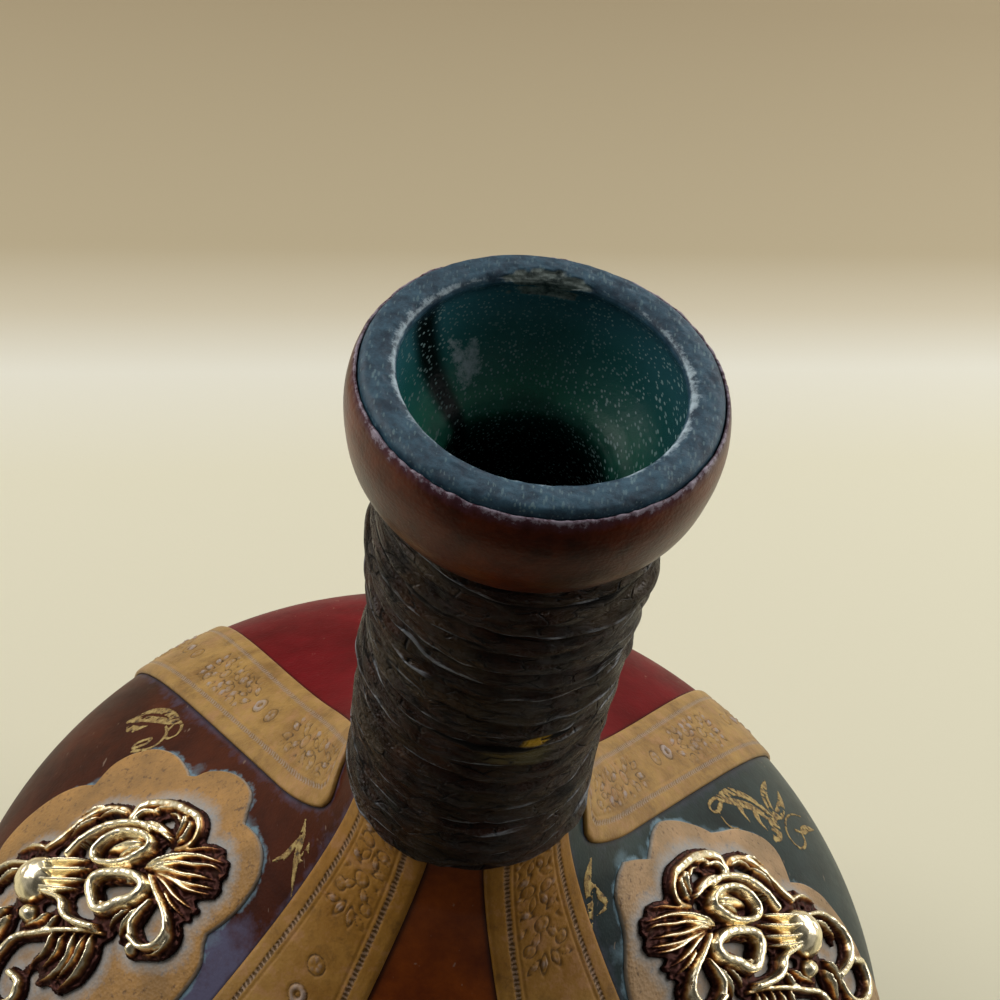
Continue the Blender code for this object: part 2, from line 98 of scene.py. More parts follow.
def smooth_line(points, steps, closed=False):
    """A curve through points: between two of them, the cubic whose slope at each is half the step
    from its neighbour before to its neighbour after."""
    points = np.asarray(points, float)
    if closed:
        line = np.concatenate([points[-1:], points, points[:2]])
    else:
        line = np.concatenate([2 * points[:1] - points[1:2], points, 2 * points[-1:] - points[-2:-1]])
    before, here, after, beyond = (line[k:len(line) - 3 + k, None, :] for k in range(4))
    t = (np.arange(steps) / steps)[None, :, None]
    line = here + t * (after - before) / 2 + t**2 * (before - 2.5 * here + 2 * after - beyond / 2)
    line = line + t**3 * (1.5 * (here - after) + (beyond - before) / 2)
    line = line.reshape(-1, points.shape[1])
    return line if closed else np.concatenate([line, points[-1:]])


def soft_noise(u, v, seed, repeat=256):
    """Smooth noise from -1 to 1: random values on a unit lattice, blended between its corners by
    3t^2 - 2t^3. It repeats along u after a whole number of cells."""
    u, v = np.broadcast_arrays(u, v)
    lattice = np.random.default_rng(seed).uniform(-1, 1, (256, 256))
    column, row = np.floor(u).astype(int), np.floor(v).astype(int)
    s, t = u - column, v - row
    s, t = s * s * (3 - 2 * s), t * t * (3 - 2 * t)
    left, right, low, high = column % repeat, (column + 1) % repeat, row % 256, (row + 1) % 256
    near = lattice[left, low] * (1 - s) + lattice[right, low] * s
    far = lattice[left, high] * (1 - s) + lattice[right, high] * s
    return near * (1 - t) + far * t


def add_mesh(name, points, faces, material, fields=None):
    """One closed piece from points and arrays of faces, turned outwards, smooth, on the body.

    Its volume is the sum of p0 . (p1 x p2) / 6 over its triangles, and where that is negative each
    face is reversed. fields are numbers kept at each point for the material.
    """
    fan = np.concatenate([
        face[:, [0, corner, corner + 1]] for face in faces for corner in range(1, face.shape[1] - 1)
    ])
    first, second, third = (points[fan[:, corner]] for corner in range(3))
    if (first * np.cross(second, third)).sum() < 0:
        faces = [face[:, ::-1] for face in faces]
    sizes = np.concatenate([np.full(len(face), face.shape[1]) for face in faces])
    mesh = bpy.data.meshes.new(name)
    mesh.vertices.add(len(points))
    mesh.vertices.foreach_set("co", points.astype(np.float32).ravel())
    mesh.loops.add(int(sizes.sum()))
    corners = np.concatenate([face.ravel() for face in faces])
    mesh.loops.foreach_set("vertex_index", corners.astype(np.int32))
    mesh.polygons.add(len(sizes))
    mesh.polygons.foreach_set("loop_start", (np.cumsum(sizes) - sizes).astype(np.int32))
    mesh.update(calc_edges=True)
    mesh.shade_smooth()
    for field, values in (fields or {}).items():
        kept = mesh.attributes.new(field, "FLOAT", "POINT")
        kept.data.foreach_set("value", np.asarray(values, np.float32).ravel())
    mesh.materials.append(material)
    piece = bpy.data.objects.new(name, mesh)
    bpy.context.scene.collection.objects.link(piece)
    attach(piece, "root")
    return piece


def add_rows(name, rows, material, ends="pole", fields=None):
    """A closed piece from rows of points, each row a loop round it.

    The ends are closed at a pole in the middle of the loop, or the last row is joined to the first
    as on a ring.
    """
    count, around = rows.shape[:2]
    points, index = rows.reshape(-1, 3), np.arange(count * around).reshape(count, around)
    fields = {field: np.asarray(values).reshape(-1) for field, values in (fields or {}).items()}
    here, there = (index, np.roll(index, -1, 0)) if ends == "ring" else (index[:-1], index[1:])
    sides = np.stack([here, np.roll(here, -1, 1), np.roll(there, -1, 1), there], -1)
    faces = [sides.reshape(-1, 4)]
    for loop in (index[0][::-1], index[-1]) if ends != "ring" else ():
        faces.append(np.stack([loop, np.roll(loop, -1), np.full(around, len(points))], -1))
        points = np.concatenate([points, points[loop].mean(0)[None]])
        fields = {field: np.append(v, v[loop].mean()) for field, v in fields.items()}
    return add_mesh(name, points, faces, material, fields)


def bezier(controls, count):
    """Points on a cubic Bezier curve: its four controls weighted by the Bernstein polynomials."""
    t = np.linspace(0, 1, count)[:, None]
    weights = np.concatenate([(1 - t)**3, 3 * t * (1 - t)**2, 3 * t**2 * (1 - t), t**3], 1)
    return weights @ np.array(controls)


# The body's outline, radius and height in mm, from the neck's root over the widest part to the foot
body_line = np.concatenate([
    bezier([(13.8, 162.8), (13.8, 127.8), (85, 107.3), (85, 81.3)], 600),
    bezier([(85, 81.3), (85, 34.3), (68.31, 12.88), (42, 3.3)], 600)[1:],
]) * MM
body_step = np.gradient(body_line, axis=0)
body_step /= np.linalg.norm(body_step, axis=1)[:, None]
body_length = np.append(0, np.cumsum(np.linalg.norm(np.diff(body_line, axis=0), axis=1)))
body_length -= np.interp(-156.3 * MM, -body_line[:, 1], body_length)


def on_body(length, turn, lift):
    """Points over the glass body: a length down its outline from the winding's lower edge, a turn
    round the axis from the front towards +X, and a lift along the outline's normal."""
    length, turn, lift = np.broadcast_arrays(length, turn, lift)
    radius, height, outward, down = (
        np.interp(length, body_length, column)
        for column in (*body_line.T, body_step[:, 0], -body_step[:, 1])
    )
    radius, height = radius + down * lift, height + outward * lift
    return np.stack([radius * np.sin(turn), -radius * np.cos(turn), height], -1)


def all_round(count):
    """Even turns all the way round the axis, in one row."""
    return np.linspace(0, 2 * np.pi, count, endpoint=False)[None, :]


def turned(line, turn):
    """Rows of points: each radius and height of a line, carried round the axis from the front."""
    radius, height = line[..., 0], line[..., 1]
    return np.stack([radius * np.sin(turn), -radius * np.cos(turn), height + 0 * turn], -1)


lip_outside = smooth_line([(13.8, 214), (13.8, 219.8), (15.4, 222.1), (17.6, 224.4), (19.6, 227.4),
                           (20.3, 230.8), (20.4, 234.1), (20.4, 236.6), (20.35, 237.7)], 3) * MM
lip_top = smooth_line([(20.35, 237.7), (20.15, 238.3), (19.6, 238.7), (18.4, 238.8), (17.3, 238.72),
                       (16.65, 238.5), (16.3, 238.1)], 6) * MM
mouth = smooth_line([(16.3, 238.1), (16.2, 237.5), (16.6, 236.3), (16.7, 234.5), (16.3, 232.5),
                     (15.1, 228.9), (12.7, 225.6), (10.7, 223.5), (9.8, 221.3), (9.75, 214)], 10) * MM
GLASS_WALL, FLOOR_LEVEL = 3.5 * MM, 9.3 * MM
inside = (body_line - np.stack([-body_step[:, 1], body_step[:, 0]], 1) * GLASS_WALL)[::36]
inside = inside[inside[:, 1] > FLOOR_LEVEL]
foot = np.array([(4, 7.25), (12, 6.85), (20, 6.0), (28, 4.9), (36, 3.3)]) * MM
floor_inside = np.array([(40, 9.3), (28, 10.9), (16, 12.2), (5, 13.2)]) * MM
glass_line = np.concatenate([
    foot, body_line[::-36], lip_outside, lip_top[1:], mouth[1:], inside, floor_inside,
])
turn = all_round(440)
across = turn / (2 * np.pi)
lip = np.zeros((len(glass_line), 1, 1)) + glass_line[:, None, :] + 0 * turn[..., None]
on_rim = np.clip((glass_line[:, 1] - 236 * MM) / (2.4 * MM), 0, 1)[:, None]
lip[..., 0] += on_rim * MM * 0.12 * soft_noise(across * 14, 0.5, 3, 14)
lip[..., 1] += on_rim * MM * (0.10 * soft_noise(across * 22, 0.5, 4, 22)
                              + 0.07 * soft_noise(across * 120, glass_line[:, :1] / MM * 2, 5, 120))
# The chip at the back: thin flakes off the inner edge, 11 mm long and 0.4 mm deep, over its top and
# almost 2 mm down the wall, wide in the middle and ragged at the ends
flakes = soft_noise(across * 150, glass_line[:, 1:] / MM * 1.3 + glass_line[:, :1] / MM, 6, 150)
layers = soft_noise(across * 60 + flakes, glass_line[:, 1:] / MM * 3, 7, 60)
down_wall = np.where(glass_line[:, :1] < 16.5 * MM, 238.3 - glass_line[:, 1:] / MM,
                     16.3 - glass_line[:, :1] / MM)
reach = np.clip(1 - ((turn - np.radians(181.5)) / np.radians(20 + flakes))**2, 0, 1)
chip = np.clip(3 * (reach - np.abs(down_wall - 0.3 + 0.35 * flakes) / 1.5), 0, 1)
chip = chip * (glass_line[:, 1:] > 235.4 * MM) * (reach > 0)
lip[..., 1] -= MM * chip * on_rim * (0.35 + 0.08 * layers)
lip[..., 0] += MM * chip * (0.2 + 0.1 * layers)
# How far out from the rim's inner edge in mm, counting four times what lies below it
rim_distance = (lip[..., 0] / MM - 16.2) + 4 * np.clip(238.3 - lip[..., 1] / MM, 0, 9)
rim_distance = np.where(glass_line[:, 1:] > 225 * MM, rim_distance, 20.0)
# Dust lies on the rim and in one patch inside at the back left; at the two sides of the opening it is
# painted thicker, as painted highlights
sides = 0.5 - 0.5 * np.cos(2 * turn)
inner_dust = np.exp(-(((turn - np.radians(217)) / np.radians(9))**4)) * np.exp(
    -(((lip[..., 1] / MM - 228) / 3.2)**4)) * (lip[..., 0] < 16.5 * MM)
# Painted light: a glow of light come up through the glass, brightest at the back, and a painted dark
# reflection that runs up at the left
lit = np.clip(0.66 - 0.42 * np.cos(turn - np.radians(45)), 0, 1)
lit = lit * (1 - np.exp(-(((turn - np.radians(236)) / np.radians(8))**4))) + 0 * lip[..., 0]

# Dark bottle glass, blown: a deep blue-green black with an emerald glow painted where light comes up
# through the shoulder of the bore and painted shade down it, a smooth reflecting inside, a ground dull
# rim with a painted cool reflection on its top, and pale dust on both
glass = new_material("dark_bottle_glass_blown")
place = add_node(glass, "ShaderNodeTexCoord", output="Object")
rim, chipped, dust_and_highlight, lit_up = (
    add_node(glass, "ShaderNodeAttribute", output="Fac", attribute_name=field)
    for field in ("rim", "chip", "dust_and_highlight", "lit"))
height_axis = add_node(glass, "ShaderNodeSeparateXYZ", {"Vector": place}, output="Z")
smear = add_node(glass, "ShaderNodeTexNoise", {"Vector": place, "Scale": 140, "Detail": 4,
                                               "Roughness": 0.65})
# Painted light and shade by height: an emerald glow at the bore's shoulder, near black further down the
# bore
glow = add_node(glass, "ShaderNodeMath", {0: smear, 1: 0.006, 2: height_axis}, operation="MULTIPLY_ADD")
glow = add_node(glass, "ShaderNodeMapRange", {"Value": glow, "From Min": 0.22, "From Max": 0.242})
tint = add_node(glass, "ShaderNodeValToRGB", {"Fac": glow}, stops=[
    (0.04, linear("#050a0a")), (0.20, linear("#10342e")), (0.36, linear("#2a7a64")),
    (0.54, linear("#266a66")), (0.78, linear("#346c76")), (0.93, linear("#3a727e"))])
# Painted light: where the lit mask is low the glass is painted near black, and the dark band at the left
# is a painted reflection
tint = add_node(glass, "ShaderNodeMix", {"Factor": lit_up, "A": linear("#050b0c"), "B": tint},
                data_type="RGBA")
cloud = add_node(glass, "ShaderNodeTexNoise", {"Vector": place, "Scale": 420, "Detail": 8,
                                               "Roughness": 0.75})
# The rim's top is painted a mottled blue-grey: the dull ground glass, with a painted cool reflection of
# the light from above
mottle = add_node(glass, "ShaderNodeMapRange", {"Value": cloud, "From Min": 0.38, "From Max": 0.62})
mottle = add_node(glass, "ShaderNodeMix", {
    "Factor": mottle, "A": linear("#182f40"), "B": linear("#37586a")}, data_type="RGBA")
top_tint = add_node(glass, "ShaderNodeMapRange", {
    "Value": height_axis, "From Min": 0.2355, "From Max": 0.2380})
# Two lattices of streaky specks of dust, 0.1 to 0.3 mm long, lying two ways, thinned out by clouds
fade = add_node(glass, "ShaderNodeMapRange", {"Value": smear, "From Min": 0.36, "From Max": 0.62,
                                              "To Min": 0.3, "To Max": 1.0})
specks = []
for across_it, lean, size in ((1350, (0.5, 0.6, 0.3), 0.31), (2100, (1.2, -0.5, 1.1), 0.36)):
    stretched = add_node(glass, "ShaderNodeMapping", {"Vector": place, "Rotation": lean,
                                                      "Scale": (1, 0.3, 1)})
    lattice = add_node(glass, "ShaderNodeTexVoronoi", {"Vector": stretched, "Scale": across_it})
    lattice = add_node(glass, "ShaderNodeMath", {0: cloud, 1: -0.5, 2: lattice},
                       operation="MULTIPLY_ADD")
    specks.append(add_node(glass, "ShaderNodeMapRange", {
        "Value": lattice, "From Min": size - 0.42, "From Max": size - 0.34, "To Min": 1.0,
        "To Max": 0.0}))
speck = add_node(glass, "ShaderNodeMath", {0: specks[0], 1: specks[1]}, operation="MAXIMUM")
speck = add_node(glass, "ShaderNodeMath", {0: speck, 1: fade}, operation="MULTIPLY")
ground = add_node(glass, "ShaderNodeMath", {0: top_tint, 1: -0.7, 2: 1.0}, operation="MULTIPLY_ADD")
speck = add_node(glass, "ShaderNodeMath", {0: speck, 1: ground}, operation="MULTIPLY")
near_rim = add_node(glass, "ShaderNodeMapRange", {
    "Value": rim, "From Min": 0.15, "From Max": 1.5, "To Min": 0.17, "To Max": -0.14})
# Dust, with painted highlights where the rim is painted paler at its two sides
dust_and_glint = add_node(glass, "ShaderNodeMath", {0: cloud, 1: near_rim}, operation="ADD")
dust_and_glint = add_node(glass, "ShaderNodeMath", {0: dust_and_highlight, 1: 0.18, 2: dust_and_glint}, operation="MULTIPLY_ADD")
dust_and_glint = add_node(glass, "ShaderNodeMapRange", {"Value": dust_and_glint, "From Min": 0.58, "From Max": 0.76})
flaked = add_node(glass, "ShaderNodeMapRange", {"Value": cloud, "From Min": 0.40, "From Max": 0.66})
flaked = add_node(glass, "ShaderNodeMix", {
    "Factor": flaked, "A": linear("#34423f"), "B": linear("#a2ada6")}, data_type="RGBA")
chip_mask = add_node(glass, "ShaderNodeMapRange", {"Value": chipped, "From Min": 0.1, "From Max": 0.6,
                                                   "To Max": 0.9})
dull = add_node(glass, "ShaderNodeMapRange", {
    "Value": height_axis, "From Min": 0.2370, "From Max": 0.2382, "To Min": 0.2, "To Max": 0.5})
dull = add_node(glass, "ShaderNodeMath", {0: dull, 1: dust_and_glint}, operation="MAXIMUM")
finish_material(glass, tint, dull, cloud, 0.14, [
    (top_tint, mottle), (speck, linear("#8aa5a4")), (dust_and_glint, linear("#b3c4cc")), (chip_mask, flaked)],
    IOR=1.5, Specular_IOR_Level=0.35)

bottle = add_rows("green_glass_bottle", turned(lip, turn), glass, fields={
    "rim": rim_distance, "chip": chip, "lit": lit,
    "dust_and_highlight": (sides - 0.5) * (rim_distance < 19) + 1.9 * inner_dust})
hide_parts("glass_bottle")

# The base disc: a round of thick sole leather, cut with a slightly eased edge and glued under the
# glass foot, so that the bottle stands soft.

disc_line = smooth_line([(6, 0), (30, 0), (44.4, 0), (45.2, 0.25), (45.5, 0.9), (45.5, 2.2),
                         (45.2, 2.8), (44.4, 3), (30, 3), (6, 3)], 3) * MM
disc_line[:, 1] = np.maximum(disc_line[:, 1], 0)


def start_leather(name, dark, light, patch=14, grain=0.7):
    """Starts a leather: two tones mixed by soft patches of a size in mm, and its grain's height.

    Returns the material, Object coordinates, the colour and the height.
    """
    material = new_material(name)
    place = add_node(material, "ShaderNodeTexCoord", output="Object")
    patches = add_node(material, "ShaderNodeTexNoise", {
        "Vector": place, "Scale": 1000 / patch, "Detail": 7, "Roughness": 0.68})
    spread = add_node(material, "ShaderNodeMapRange", {
        "Value": patches, "From Min": 0.36, "From Max": 0.64})
    colour = add_node(material, "ShaderNodeMix", {
        "Factor": spread, "A": linear(dark), "B": linear(light)}, data_type="RGBA")
    pores = add_node(material, "ShaderNodeTexVoronoi", {"Vector": place, "Scale": 1000 / grain})
    creases = add_node(material, "ShaderNodeTexNoise", {
        "Vector": place, "Scale": 1000 / (3 * grain), "Detail": 4})
    height = add_node(material, "ShaderNodeMath", {0: pores, 1: creases}, operation="ADD")
    return material, place, colour, height


# Vegetable-tanned sole leather, rolled: matt, dense, dark brown with scuffed lighter patches
sole, _, colour, height = start_leather("sole_leather_rolled", "#2a1c14", "#46301f", 9, 0.5)
finish_material(sole, colour, 0.72, height, 0.08, Specular_IOR_Level=0.3)
disc = add_rows("base_leather_disc", turned(disc_line[:, None, :], all_round(240)), sole)
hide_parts("base_disc")

# The four panels: dyed calf leather, dark red-brown in front, green at the right, red at the back
# and brown at the left, moulded wet over the glass and glued, their seams under the straps.

LEATHER_START = 0.2 * MM
# Heights over the glass in mm: the panels' underside and top, and the straps' and patches' tops
PANEL_LOW, PANEL_TOP, STRAP_TOP, PATCH_TOP = 0.3, 1.5, 2.35, 2.2
# The middle of each side panel's patch: its turn, and its length down from the winding in mm
PATCH_TURN, PATCH_DROP = np.radians(85.5), 60.5


def radius_at(length):
    """The outline's radius at a length down it."""
    return np.interp(length, body_length, body_line[:, 0])


def length_under_belly(radius):
    """The length down the outline at which it narrows, under the belly, to a radius in mm."""
    return np.interp(-radius * MM, -body_line[600:, 0], body_length[600:])


def plan_line(direction, offset, radius):
    """The turn at which a straight line in plan, at an offset from the axis, crosses a radius."""
    return np.radians(direction) + np.arcsin(np.clip(offset * MM / radius, -1, 1))


def strap_edges(end, radius):
    """The two edge turns of a strap on the +X side, nearer the front first, at a plan radius.

    At the neck the back straps narrow and are cut to a round end: the side that faces the front
    goes over from its line to a turn of 79 degrees by a smooth minimum and bends away from there,
    but stays 0.06 radians from the far side, which leans in by the square of the radius.
    """
    if end == "front":
        flare, parallel = plan_line(24, -2.5, radius), plan_line(41, -13, radius)
        return np.maximum(flare, parallel), plan_line(41, 7, radius)
    outer, limit = plan_line(37.7, 19.4, radius), np.radians(101)
    share = np.clip(0.5 + (outer - limit) / 0.7, 0, 1)
    outer = outer * (1 - share) + limit * share - 0.35 * share * (1 - share)
    outer = outer - 0.09 * np.clip(18.75 - radius / MM, 0, 2.4)**2
    narrowing = (4.3 + 0.04 * np.clip(77.5 - radius / MM, 0, 80)
                 + 0.012 * np.clip(29 - radius / MM, 0, 12)**2)
    far = np.pi - plan_line(35, narrowing, radius)
    return np.minimum(np.pi - outer, far - 0.06), far


def local_place(length, turn, side):
    """Distances in mm across, away from the front, and down from the middle of a patch."""
    return radius_at(length) * (side * turn - PATCH_TURN) / MM, length / MM - PATCH_DROP


def from_local(across, down, side, lift):
    """Points at distances across and down from a patch's middle, the other way round."""
    length = (PATCH_DROP + down) * MM
    return on_body(length, side * (PATCH_TURN + across * MM / radius_at(length)), lift * MM)


def sheet_rows(length, left, right, columns, low, high, ease=0.5):
    """Rows of a thin sheet on the body: over its top from the left edge to the right one, round the
    edge and back underneath with a fifth as many points. Within the ease, in mm, of an edge the top
    comes down as a quarter circle. Returns the points, and the length and turn of each."""
    share = np.linspace(0, 1, columns)
    width = radius_at(length)[:, None] * (right - left)[:, None] / MM
    edge = np.minimum(share, 1 - share) * width
    bow = np.sqrt(1 - (1 - np.clip(edge / ease, 0, 1))**2)
    top = low + (high - low) * (0.35 + 0.65 * bow)
    turn = left[:, None] * (1 - share) + right[:, None] * share
    back = np.append(turn[:, :0:-5], turn[:, :1], 1)
    lift = np.concatenate([top, np.full_like(back, low)], 1)
    turn = np.concatenate([turn, back], 1)
    length = length[:, None] + 0 * turn
    return on_body(length, turn, lift * MM), length, turn


patch_outlines = {
    1: [[(-0.4, -38.5), (1.5, -35.6), (3.5, -31.8)],
        [(3.5, -31.8), (6, -31), (9.4, -29.5), (12.8, -26.5), (15.4, -22), (17, -17.9), (17.9, -14.5),
         (18.2, -11.9)],
        [(18.2, -11.9), (20.1, -8.6), (23, -3.8), (24.8, 1.2), (25.2, 5.1), (23.5, 7.4), (18.4, 8.2)],
        [(18.4, 8.2), (20.1, 12.6), (20.6, 17), (20, 19.6), (18, 23.6), (15.2, 27.3), (12.6, 29.2)],
        [(12.6, 29.2), (12.2, 32.4), (8.6, 36.6), (3.2, 39), (-1.2, 37)],
        [(-1.2, 37), (-6.4, 38.6), (-12, 36.2), (-15.4, 31.8), (-16, 27.6)],
        [(-16, 27.6), (-20.6, 25), (-24, 19.8), (-25.2, 13.8), (-23.6, 8.6)],
        [(-23.6, 8.6), (-26.2, 3.2), (-26.6, -3.4), (-24.4, -9.8), (-21.8, -12.4)],
        [(-21.8, -12.4), (-22.4, -17.6), (-20.6, -22.8), (-19, -25.4), (-16, -28.8), (-13.2, -31)],
        [(-13.2, -31), (-10.5, -33.2), (-8.4, -35.7), (-6.1, -38.4), (-3.1, -39.2), (-0.4, -38.5)]],
    -1: [[(1.2, -30.2), (5.7, -30.3), (8.5, -28.6), (11.5, -25.2), (13.8, -21.3), (15.1, -17.3),
          (14.9, -15), (15.6, -12.8)],
         [(15.6, -12.8), (17.5, -11.2), (21.2, -7.3), (24, -3.2), (25.6, 0.5), (25.9, 3.5),
          (25.7, 5.8), (24.2, 8.2), (20.4, 9.6)],
         [(20.4, 9.6), (21.4, 14), (20.8, 19), (18, 24.4), (14.6, 27.8), (12.4, 28.6)],
         [(12.4, 28.6), (12, 32.2), (8.4, 36.2), (3, 38.6), (-1.4, 36.8)],
         [(-1.4, 36.8), (-6.6, 38.2), (-12, 35.8), (-15.6, 31.4), (-16.2, 27.4)],
         [(-16.2, 27.4), (-20.8, 24.8), (-24.2, 19.6), (-25.4, 13.6), (-24, 8.4)],
         [(-24, 8.4), (-26.6, 3), (-26.9, -3.6), (-25.8, -9), (-24.3, -12), (-21.2, -16.6),
          (-19.1, -18.7), (-16.8, -19.9), (-15.1, -21.1)],
         [(-15.1, -21.1), (-14, -24.5), (-12.4, -28.1), (-9.6, -32.1), (-7.5, -33.7), (-4.8, -34.4),
          (-2.2, -33.5), (0, -31.6), (1.2, -30.2)]],
}
patch_lines = {
    side: np.concatenate([smooth_line(lobe, 7)[:-1] for lobe in lobes])
    for side, lobes in patch_outlines.items()
}


def distance_to_line(x, y, line, closed=False):
    """Least distance of points from a polyline, and the share along it of the nearest place: each
    point is dropped square onto each segment, held between its ends."""
    line = np.concatenate([line, line[:1]]) if closed else line
    best, share = np.full(x.shape, 1e9), np.zeros(x.shape)
    for place, (start, end) in enumerate(zip(line[:-1], line[1:])):
        step = end - start
        t = ((x - start[0]) * step[0] + (y - start[1]) * step[1]) / max(step @ step, 1e-9)
        t = np.clip(t, 0, 1)
        apart = np.hypot(x - start[0] - t * step[0], y - start[1] - t * step[1])
        share = np.where(apart < best, (place + t) / (len(line) - 1), share)
        best = np.minimum(best, apart)
    return best, share


def seam(end, radius):
    """The turn of the seam under a strap, midway between its edges."""
    near, far = strap_edges(end, radius)
    return (near + far) / 2


def strap_distance(length, turn):
    """Distance in mm from the nearest strap's edge, zero under a strap."""
    radius = radius_at(length)
    turn = np.abs((turn + np.pi) % (2 * np.pi) - np.pi)
    apart = [np.maximum(near - turn, turn - far) for near, far in
             (strap_edges("front", radius), strap_edges("back", radius))]
    return np.clip(np.minimum(*apart) * radius / MM, 0, 12)


# Each panel's dark and light tone, slot, roughness, specular level and how strong its bloom is
panel_finishes = {
    "front": ("#5a2104", "#8c420a", "panel_leather_red_brown", 0.42, 0.18, 0.0),
    "right": ("#142122", "#26393a", "panel_leather_green", 0.44, 0.14, 0.5),
    "back": ("#55070f", "#6d0f18", "panel_leather_red", 0.40, 0.02, 0.0),
    "left": ("#301005", "#50220d", "panel_leather_brown", 0.46, 0.08, 1.0),
}
panel_length = np.linspace(LEATHER_START, length_under_belly(47.5), 200)
front_seam, back_seam = (seam(end, radius_at(panel_length)) for end in ("front", "back"))
panel_spans = {
    "front": (-front_seam, front_seam),
    "right": (front_seam, back_seam),
    "back": (back_seam, 2 * np.pi - back_seam),
    "left": (-back_seam, -front_seam),
}
for where, (dark, light, slot, roughness, shine, hazed) in panel_finishes.items():
    # Calf leather, dyed and waxed: smooth with a fine pore, satin, worn in soft patches; its wax is
    # pale blue where it caught along each patch's edge and a purple-grey haze along the straps, and a
    # painted shadow lies dark along each strap's edge
    calf, place, colour, height = start_leather(f"dyed_calf_leather_{where}", dark, light, 16, 0.5)
    edge, corner, beside, bloom = (
        add_node(calf, "ShaderNodeAttribute", output="Fac", attribute_name=field)
        for field in ("edge", "corner", "beside", "bloom"))
    cloud = add_node(calf, "ShaderNodeTexNoise", {"Vector": place, "Scale": 330, "Detail": 6,
                                                  "Roughness": 0.65})
    haze = add_node(calf, "ShaderNodeMath", {0: cloud, 1: 1.4, 2: bloom}, operation="MULTIPLY_ADD")
    haze = add_node(calf, "ShaderNodeMapRange", {
        "Value": haze, "From Min": 0.95, "From Max": 1.65, "To Max": hazed})
    wax = add_node(calf, "ShaderNodeMath", {0: cloud, 1: -3.4, 2: edge}, operation="MULTIPLY_ADD")
    wax = add_node(calf, "ShaderNodeMapRange", {
        "Value": wax, "From Min": -1.75, "From Max": -1.05, "To Min": 0.85, "To Max": 0.0})
    pool = add_node(calf, "ShaderNodeMath", {0: cloud, 1: -5.0, 2: corner}, operation="MULTIPLY_ADD")
    pool = add_node(calf, "ShaderNodeMapRange", {
        "Value": pool, "From Min": -1.8, "From Max": -0.1, "To Min": 0.4, "To Max": 0.0})
    wax = add_node(calf, "ShaderNodeMath", {0: wax, 1: pool}, operation="MAXIMUM")
    scratch = add_node(calf, "ShaderNodeMapping", {"Vector": place, "Rotation": (0.4, 0.9, 0.7),
                                                   "Scale": (1, 0.22, 1)})
    scratch = add_node(calf, "ShaderNodeTexNoise", {"Vector": scratch, "Scale": 900, "Detail": 2})
    scratch = add_node(calf, "ShaderNodeMapRange", {
        "Value": scratch, "From Min": 0.71, "From Max": 0.76, "To Max": 0.45})
    # Painted shadow: a dark line on the panel close beside each strap
    strap_shadow_line = add_node(calf, "ShaderNodeMapRange", {
        "Value": beside, "From Min": 0.1, "From Max": 0.7, "To Min": 0.75, "To Max": 0.0})
    gloss = add_node(calf, "ShaderNodeMapRange", {
        "Value": cloud, "To Min": roughness - 0.08, "To Max": roughness + 0.12})
    finish_material(calf, colour, gloss, height, 0.025, [
        (haze, linear("#56536a")), (wax, linear("#76929f")), (scratch, linear("#a08a78")),
        (strap_shadow_line, linear("#120a0a"))], Specular_IOR_Level=shine,
        Coat_Weight=0.05 if where in ("back", "left") else 0.16, Coat_Roughness=0.1)
    left, right = panel_spans[where]
    rows, length, turn_at = sheet_rows(panel_length, left, right, 170, PANEL_LOW, PANEL_TOP)
    fields = {"edge": np.full(turn_at.shape, 9.0), "corner": np.full(turn_at.shape, 9.0),
              "beside": strap_distance(length, turn_at)}
    fields["bloom"] = np.exp(-fields["beside"] / 1.6) * 0.7
    side = {"right": 1, "left": -1}.get(where)
    if side:
        x, y = local_place(length, turn_at, side)
        # A broad bloom of wax towards the front, low beside the patch
        low_front = np.clip((y + 33) / 10, 0, 1) * np.clip((-9 - x) / 6, 0, 1)
        fields["bloom"] = np.maximum(fields["bloom"], low_front * (0.95 if side < 0 else 0.45))
        fields["edge"] = distance_to_line(x, y, patch_lines[side], closed=True)[0]
        corners = np.array([lobe[0] for lobe in patch_outlines[side]])
        fields["corner"] = np.min([np.hypot(x - a, y - b) for a, b in corners], axis=0)
    panel = add_rows(f"calf_panel_{where}", rows, calf, fields=fields)
    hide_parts(f"panel_{where}")

# The four straps: thick tan hide, skived at the edges, tooled with a milled border, flower heads,
# leaves and eyelets, and glued over the seams from the neck to under the belly.


def strap_fields(end, length, turn):
    """Distances in mm from a strap's two edges, square to each.

    An edge slants by radius * d(turn) / d(length), and the distance square to it is the arc divided
    by sqrt(1 + slant^2).
    """
    radius = radius_at(length)
    line = np.linspace(LEATHER_START, body_length[-1], 900)
    line_radius = radius_at(line)
    arcs = []
    for sign, here, edge in zip((1, -1), strap_edges(end, radius), strap_edges(end, line_radius)):
        slant = np.interp(length, line, line_radius * np.gradient(edge, line))
        arcs.append(sign * radius * (turn - here) / np.sqrt(1 + slant**2) / MM)
    return arcs


